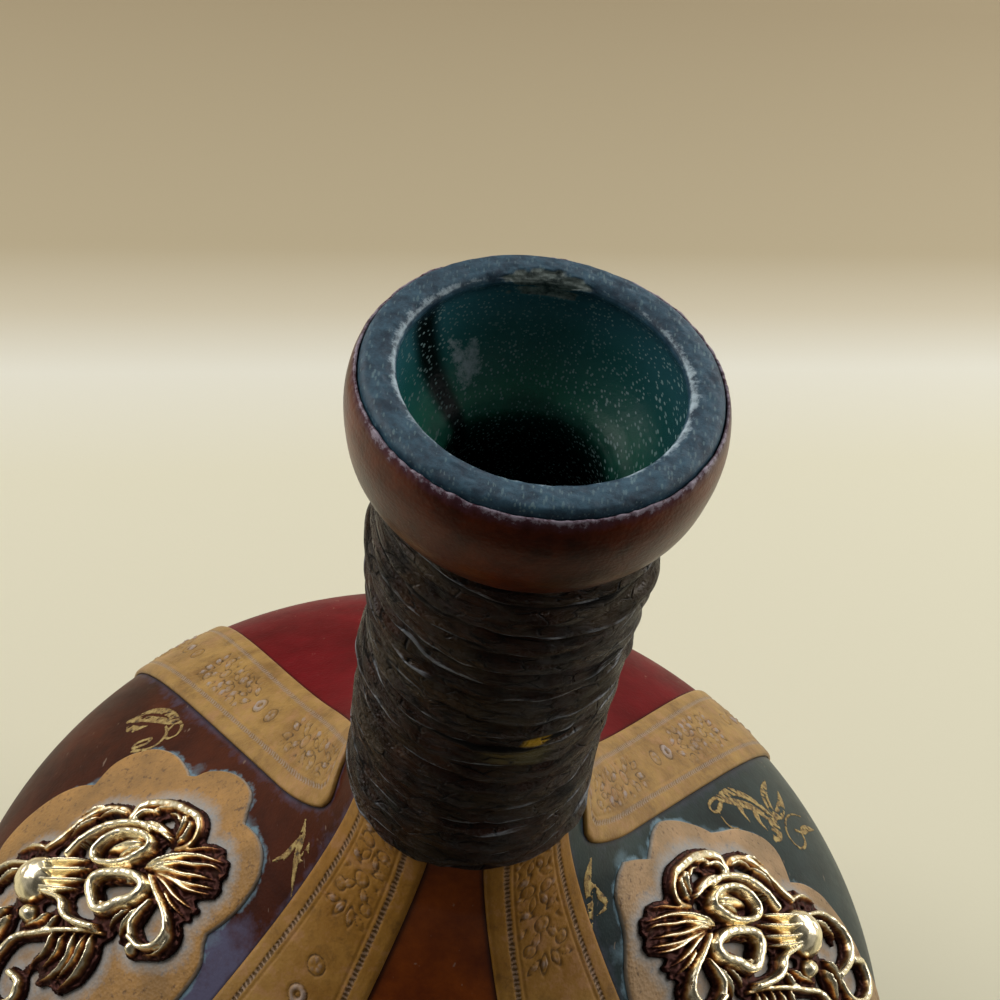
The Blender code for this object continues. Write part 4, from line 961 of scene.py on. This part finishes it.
# Thin calf, undyed and aged: ochre tan with a grey cast, small dark pits, its cut edge grey, and a
# pale haze of old polish that the cloth left round the mount
for side, where, dark, light in ((1, "right", "#967a56", "#b8946b"), (-1, "left", "#8f6a38", "#b58647")):
    tan, place, colour, height = start_leather(f"undyed_calf_aged_{where}", dark, light, 10, 0.6)
    edge, polish = (add_node(tan, "ShaderNodeAttribute", output="Fac", attribute_name=field)
                    for field in ("edge", "polish"))
    pits = add_node(tan, "ShaderNodeTexNoise", {"Vector": place, "Scale": 900, "Detail": 5,
                                                "Roughness": 0.7})
    pitted = add_node(tan, "ShaderNodeMapRange", {"Value": pits, "From Min": 0.56, "From Max": 0.66,
                                                  "To Max": 0.65})
    pale = add_node(tan, "ShaderNodeMapRange", {"Value": edge, "From Min": 0.0, "From Max": 0.4,
                                                "To Min": 0.6, "To Max": 0.0})
    hazy = add_node(tan, "ShaderNodeMath", {0: pits, 1: -3.0, 2: polish}, operation="MULTIPLY_ADD")
    hazy = add_node(tan, "ShaderNodeMapRange", {"Value": hazy, "From Min": -1.6, "From Max": 1.5,
                                                "To Min": 0.85, "To Max": 0.0})
    finish_material(tan, colour, 0.55, height, 0.08, [
        (pitted, linear("#4a3222")), (pale, linear("#a4adad")), (hazy, linear("#a8afb2"))],
        Specular_IOR_Level=0.35)
    outline = np.concatenate([smooth_line(lobe, 11)[:-1] for lobe in patch_outlines[side]])
    across, down = patch_shares * outline[:, 0], patch_shares * outline[:, 1]
    shift_x, shift_y, lean = mount_seat[side]
    from_mount = mount_form(*rotated(across - shift_x, down - shift_y, lean))[1]
    patch = add_rows(f"lobed_patch_{where}", from_local(across, down, side, patch_lifts), tan,
                     fields={
                         "edge": (1 - patch_shares) * np.hypot(*outline.T),
                         "polish": np.clip(from_mount, 0, 9)})
    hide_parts(f"patch_{where}")

# The lip collar: red-brown calf drawn wet over the bulge of the glass lip, glued and polished, its
# cut edge ragged just under the rim.

collar_line = smooth_line([
    (20.48, 237.3), (20.62, 237.8), (20.95, 237.5), (21.4, 236.0), (21.7, 233.6), (21.5, 230.6),
    (20.75, 227.1), (18.8, 223.6), (17.0, 221.6), (16.1, 221.1), (15.7, 221.5), (16.75, 223.4),
    (19.7, 227.2), (20.4, 230.8), (20.5, 234.1)], 6, closed=True) * MM
turn = all_round(620)
collar = collar_line[:, None, :] + 0 * turn[..., None]
frayed = np.clip((collar[..., 1] / MM - 236) / 1.6, 0, 1)
collar[..., 1] += MM * frayed * (0.25 * soft_noise(turn * 12 / np.pi, 0.5, 8, 24)
                                 + 0.12 * soft_noise(turn * 70 / np.pi, 0.5, 9, 140)
                                 + 0.12 * soft_noise(turn * 125 / np.pi, 0.5, 10, 250))
ragged = (collar[..., 1] / MM - 236.8) / 1.2
# Calf, dyed red-brown and burnished: dark and satin, faint stretch wrinkles running round it, a few
# scratches, and the dye rubbed to a dusty purple-pink in flecks along the cut edge
drawn, place, colour, height = start_leather("burnished_calf_red_brown", "#310c04", "#6a2a0c", 10, 0.5)
cut = add_node(drawn, "ShaderNodeAttribute", output="Fac", attribute_name="cut")
edge = add_node(drawn, "ShaderNodeTexNoise", {"Vector": place, "Scale": 800, "Detail": 6,
                                              "Roughness": 0.75})
purple = add_node(drawn, "ShaderNodeMath", {0: edge, 1: 2.2, 2: cut}, operation="MULTIPLY_ADD")
purple = add_node(drawn, "ShaderNodeMapRange", {"Value": purple, "From Min": 0.9, "From Max": 1.7,
                                                "To Max": 0.8})
flecks = add_node(drawn, "ShaderNodeMath", {0: edge, 1: 3.2, 2: cut}, operation="MULTIPLY_ADD")
flecks = add_node(drawn, "ShaderNodeMapRange", {"Value": flecks, "From Min": 2.2, "From Max": 2.6,
                                                "To Max": 0.8})
stretch = add_node(drawn, "ShaderNodeMapping", {"Vector": place, "Scale": (1, 1, 9)})
wrinkle = add_node(drawn, "ShaderNodeTexNoise", {"Vector": stretch, "Scale": 160, "Detail": 6,
                                                 "Roughness": 0.65})
height = add_node(drawn, "ShaderNodeMath", {0: height, 1: 0.4}, operation="MULTIPLY")
height = add_node(drawn, "ShaderNodeMath", {0: wrinkle, 1: 0.9, 2: height}, operation="MULTIPLY_ADD")
satin = add_node(drawn, "ShaderNodeMapRange", {"Value": wrinkle, "To Min": 0.22, "To Max": 0.40})
finish_material(drawn, colour, satin, height, 0.05, [
    (purple, linear("#4b2c3c")), (flecks, linear("#a59aa8"))], Specular_IOR_Level=0.26)
collar = add_rows("calf_lip_collar", turned(collar, turn), drawn, "ring", {
    "cut": ragged})
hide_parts("lip_collar")

# The neck sleeve: a plain tube of thin leather glued round the glass neck, the core under the
# winding.

sleeve_line = smooth_line([
    (15.9, 219.3), (15.9, 190), (15.9, 164), (16.1, 160), (16.6, 156.9), (15.2, 156.5), (14.4, 160),
    (14.1, 164), (14.1, 190), (14.1, 219.3)], 6, closed=True) * MM
# Split leather, undyed side in: matt and dark, seen only where the winding gapes
split, _, colour, height = start_leather("split_leather_dark", "#1c130e", "#2c2018", 8, 0.6)
finish_material(split, colour, 0.75, height, 0.08, Specular_IOR_Level=0.3)
sleeve = add_rows("neck_core_sleeve", turned(sleeve_line[:, None, :], all_round(160)), split,
                  "ring")
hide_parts("neck_sleeve")

# The neck winding: one long strip of thin dark leather, wound damp down the neck with each turn's
# torn lower edge lying over the next, glued, and creased as it dried. It starts thin under the
# collar at the back, and its end is tucked in at the foot.

# Turns, steps in a turn, and in mm the pitch, the strip's width, its levels and the sleeve's radius
TURNS, STEPS, PITCH, WIDTH, TOP, FOOT, SLEEVE = 18.7, 260, 3.62, 5.9, 220.7, 156.7, 16.0
steps = np.arange(int(TURNS * STEPS) + 1) / STEPS
wind = (np.pi + steps * 2 * np.pi)[:, None]
ragged = (1.15 * soft_noise(steps * 1.7, 0.5, 21) + 0.75 * soft_noise(steps * 5.3, 0.5, 22)
          + 0.34 * soft_noise(steps * 23, 0.5, 23) + 0.2 * soft_noise(steps * 65, 0.5, 24))
slanted = -1.3 * np.sin(wind[:, 0] + np.radians(50)) * np.interp(steps, [0, 2, 13, 17], [1, 1, 0.3, 0])
lower = TOP - PITCH * steps + (ragged + slanted) * np.clip(steps * 1.5, 0, 1)
foot_level = FOOT + 0.35 * soft_noise(steps * 9, 0.5, 25) + 0.2 * soft_noise(steps * 41, 0.5, 26)
lower = np.maximum(lower, foot_level)[:, None]
above = np.concatenate([np.full((STEPS, 1), 222.0), lower[:-STEPS]])
upper = np.minimum(TOP - PITCH * steps[:, None] + WIDTH, 221.0)
upper = np.maximum(upper, lower + 0.5)
share = np.array([0, 0.14, 0.28, 0.40, 0.51, 0.61, 0.70, 0.78, 0.86, 0.93, 0.975, 1.0])[None, :]
outer_level = upper + (lower - upper) * share
reach = np.clip((upper - lower) / WIDTH, 0, 1.2)
slope = SLEEVE + 1.75 * (share * reach)**1.1
slope = slope - 0.22 * np.clip((share - 0.95) / 0.05, 0, 1)**2
folds = (0.52 * soft_noise(steps[:, None] * 7 + share * 3.5, share * 2.0, 31)
         + 0.46 * soft_noise(steps[:, None] * 17 - share * 5, share * 4.5, 32)
         + 0.16 * soft_noise(steps[:, None] * 40 - share * 9, share * 8, 33))
curled = 0.6 * np.clip(soft_noise(steps * 4.1, 0.5, 34), 0, 1)[:, None] * share**3
outer_radius = slope + (folds + curled) * np.clip(share * 3, 0, 1) * np.clip(reach * 2, 0, 1)
inner_radius = outer_radius[:, ::-2] - np.linspace(0.55, 0.35, 6)[None, :]
radius = np.concatenate([outer_radius, inner_radius], 1)
level = np.concatenate([outer_level, outer_level[:, ::-2] + 0.05], 1)
flare = np.interp(-level, [-172, -163, -159, -156], [0, 0.1, 0.35, 0.7])
strip = turned(np.stack([radius + flare, level], -1) * MM, wind)
from_edge = level - lower
# How far each point lies below the edge of the turn above; the material paints a shadow there
tucked = np.clip(above - level, -1, 5)
# A bare spot as bright as new leather, and an olive patch under it, in front at the right
facing = (wind - np.pi) % (2 * np.pi) + np.pi
bare = np.exp(-(((facing - np.radians(384)) / np.radians(8))**2) - ((level - 190.2) / 0.55)**2)
olive = np.exp(-(((facing - np.radians(376)) / np.radians(14))**4) - ((level - 187.6) / 1.7)**4)
# Thin goat leather, stained black-brown, creased as it dried: semi-gloss, with olive and umber
# patches, fine creases along the strip, dark cracks, a painted shadow under each turn's edge, and
# torn edges painted pale, partly their bare fibres and partly painted highlight
goat, place, colour, height = start_leather("creased_goat_leather", "#0e0402", "#3c1e0c", 6, 0.5)
edge, run, hole, green, under = (
    add_node(goat, "ShaderNodeAttribute", output="Fac", attribute_name=field)
    for field in ("edge", "run", "bare", "olive", "tucked"))
flat = add_node(goat, "ShaderNodeCombineXYZ", {"X": run, "Y": edge})
crease_place = add_node(goat, "ShaderNodeMapping", {"Vector": flat, "Rotation": (0, 0, 0.14),
                                                    "Scale": (0.16, 1.1, 1)})
crease = add_node(goat, "ShaderNodeTexNoise", {"Vector": crease_place, "Scale": 0.8, "Detail": 6,
                                               "Roughness": 0.66, "Distortion": 1.0})
# Cracks: the borders of long cells about 5 mm by 1 mm, bent by the creases
bent = add_node(goat, "ShaderNodeMapping", {"Vector": flat, "Rotation": (0, 0, -0.35),
                                            "Scale": (0.22, 0.8, 1)})
bent = add_node(goat, "ShaderNodeVectorMath", {0: bent, 1: crease}, operation="ADD")
cracks = add_node(goat, "ShaderNodeTexVoronoi", {"Vector": bent, "Scale": 1.1}, output="Distance",
                  feature="DISTANCE_TO_EDGE")
cracks = add_node(goat, "ShaderNodeMapRange", {"Value": cracks, "From Max": 0.07, "To Min": 1.0,
                                               "To Max": 0.0})
broken = add_node(goat, "ShaderNodeMapRange", {"Value": crease, "From Min": 0.44, "From Max": 0.56})
cracks = add_node(goat, "ShaderNodeMath", {0: cracks, 1: broken}, operation="MULTIPLY")
umber = add_node(goat, "ShaderNodeTexNoise", {"Vector": place, "Scale": 110, "Detail": 5})
umber = add_node(goat, "ShaderNodeMapRange", {"Value": umber, "From Min": 0.50, "From Max": 0.62,
                                              "To Max": 0.7})
hole = add_node(goat, "ShaderNodeMapRange", {"Value": hole, "From Min": 0.3, "From Max": 0.6})
rubbed = add_node(goat, "ShaderNodeMapRange", {"Value": crease, "From Min": 0.62, "From Max": 0.74,
                                               "To Max": 0.4})
# Painted shadow: near black just under each turn's edge, joined with the dark cracks
shadow_and_cracks = add_node(goat, "ShaderNodeMath", {0: crease, 1: -0.9, 2: under}, operation="MULTIPLY_ADD")
shadow_and_cracks = add_node(goat, "ShaderNodeMapRange", {"Value": shadow_and_cracks, "From Min": -0.30, "From Max": 0.25,
                                               "To Min": 0.95, "To Max": 0.0})
shadow_and_cracks = add_node(goat, "ShaderNodeMath", {0: cracks, 1: shadow_and_cracks}, operation="MAXIMUM")
# Torn edges painted pale grey: partly bare fibres, partly painted highlight
torn_and_glint = add_node(goat, "ShaderNodeMath", {0: crease, 1: -1.6, 2: edge}, operation="MULTIPLY_ADD")
torn_and_glint = add_node(goat, "ShaderNodeMapRange", {"Value": torn_and_glint, "From Min": -0.72, "From Max": -0.48,
                                             "To Min": 0.9, "To Max": 0.0})
whole = add_node(goat, "ShaderNodeTexNoise", {"Vector": place, "Scale": 150, "Detail": 3})
whole = add_node(goat, "ShaderNodeMapRange", {"Value": whole, "From Min": 0.44, "From Max": 0.56})
torn_and_glint = add_node(goat, "ShaderNodeMath", {0: torn_and_glint, 1: whole}, operation="MULTIPLY")
height = add_node(goat, "ShaderNodeMath", {0: height, 1: 0.3}, operation="MULTIPLY")
height = add_node(goat, "ShaderNodeMath", {0: crease, 1: 5.0, 2: height}, operation="MULTIPLY_ADD")
height = add_node(goat, "ShaderNodeMath", {0: cracks, 1: -1.5, 2: height}, operation="MULTIPLY_ADD")
sheen = add_node(goat, "ShaderNodeMapRange", {"Value": crease, "To Min": 0.05, "To Max": 0.38})
sheen = add_node(goat, "ShaderNodeMath", {0: sheen, 1: shadow_and_cracks}, operation="MAXIMUM")
finish_material(goat, colour, sheen, height, 0.34, [
    (umber, linear("#3f2f19")), (green, linear("#7a7044")), (hole, linear("#e2b02c")),
    (rubbed, linear("#5c4c44")), (shadow_and_cracks, linear("#020202")), (torn_and_glint, linear("#a3a8b0"))],
    Specular_IOR_Level=0.26)
# The run along the strip in mm, at the middle of its thickness
run_along = (steps * 2 * np.pi * (SLEEVE + 1))[:, None] + 0 * from_edge
wrap = add_rows("neck_leather_winding", strip, goat, fields={
    "edge": from_edge, "run": run_along, "bare": bare, "olive": 0.8 * olive, "tucked": tucked})
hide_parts("neck_wrap")

# The studio: a broad sheet of paper as floor, cream round the bottle, with painted shade: tan where it
# falls into shade behind, and a painted shadow dark in front; soft lamps, and the camera where the
# photograph was taken.

floor_mesh = bpy.data.meshes.new("paper_floor")
floor_mesh.from_pydata([(-3, -3, 0), (3, -3, 0), (3, 3, 0), (-3, 3, 0)], [], [(0, 1, 2, 3)])
paper = new_material("matt_paper_cream_painted_shade")
place = add_node(paper, "ShaderNodeTexCoord", output="Object")
across_floor = add_node(paper, "ShaderNodeVectorMath", {0: place, 1: (-0.209, 0.978, 0)},
                        output="Value", operation="DOT_PRODUCT")
far = add_node(paper, "ShaderNodeMapRange", {"Value": across_floor, "From Min": -0.4, "From Max": 0.5})
# Painted shade and shadow: the ramp darkens the paper to tan behind and to dark in front
colour = add_node(paper, "ShaderNodeValToRGB", {"Fac": far}, stops=[
    (0.14, linear("#4b4132")), (0.36, linear("#e8e2c5")), (0.67, linear("#e9e3c8")),
    (0.72, linear("#ebe7d6")), (0.753, linear("#d2c7ad")), (0.79, linear("#b9aa8a")),
    (0.983, linear("#a59474"))])
fibre = add_node(paper, "ShaderNodeTexNoise", {"Vector": place, "Scale": 900, "Detail": 4})
finish_material(paper, colour, 0.9, fibre, 0.02)
floor_mesh.materials.append(paper)
floor = bpy.data.objects.new("paper_floor", floor_mesh)
bpy.context.scene.collection.objects.link(floor)

for name, size, power, spot, aim in (
        ("window_lamp", 0.9, 9.0, (-0.85, 0.4, 0.8), (0, 0, 0.12)),
        ("side_lamp", 0.6, 4.0, (0.88, 0.34, 0.55), (0, 0, 0.12)),
        ("rim_lamp", 0.5, 3.0, (0.5, 0.9, 0.6), (0, 0, 0.1))):
    light = bpy.data.lights.new(name, "AREA")
    light.size, light.energy = size, power
    lamp = bpy.data.objects.new(name, light)
    bpy.context.scene.collection.objects.link(lamp)
    away = np.array(spot) - np.array(aim)
    away /= np.linalg.norm(away)
    sideways = np.cross((0, 0, 1), away)
    sideways /= np.linalg.norm(sideways)
    turned_to = np.eye(4)
    turned_to[:3, :4] = np.stack([sideways, np.cross(away, sideways), away, spot], 1)
    lamp.matrix_world = Matrix(turned_to.tolist())

# The room is pale all round, and dark where the photographer leans over the bottle
world = bpy.data.worlds.new("soft_room")
world.use_nodes = True
world.node_tree.nodes.clear()
towards = add_node(world, "ShaderNodeTexCoord", output="Generated")
towards = add_node(world, "ShaderNodeVectorMath", {0: towards, 1: (-0.04, -0.62, 0.78)},
                   output="Value", operation="DOT_PRODUCT")
room = add_node(world, "ShaderNodeMapRange", {
    "Value": towards, "From Min": 0.35, "From Max": 0.85, "To Min": 0.42, "To Max": 0.06})
room = add_node(world, "ShaderNodeBackground", {"Color": linear("#f4f1ea"), "Strength": room})
add_node(world, "ShaderNodeOutputWorld", {"Surface": room})
bpy.context.scene.world = world

# The camera: its line of sight, what is at its right hand, and its place, in metres
sight = np.array([0.039901, 0.668099, -0.74301])
rightward = np.array([0.98969, 0.075954, 0.12145])
view = np.eye(4)
view[:3, :4] = np.stack([rightward, np.cross(rightward, sight), -sight,
                         (-0.00948, -0.12041, 0.3509)], 1)
camera_data = bpy.data.cameras.new("camera")
camera_data.sensor_width, camera_data.lens = 36, 54.07
camera_data.clip_start = 0.01
camera = bpy.data.objects.new("camera", camera_data)
camera.matrix_world = Matrix(view.tolist())
bpy.context.scene.collection.objects.link(camera)
bpy.context.scene.camera = camera
bpy.context.scene.view_settings.view_transform = "Standard"
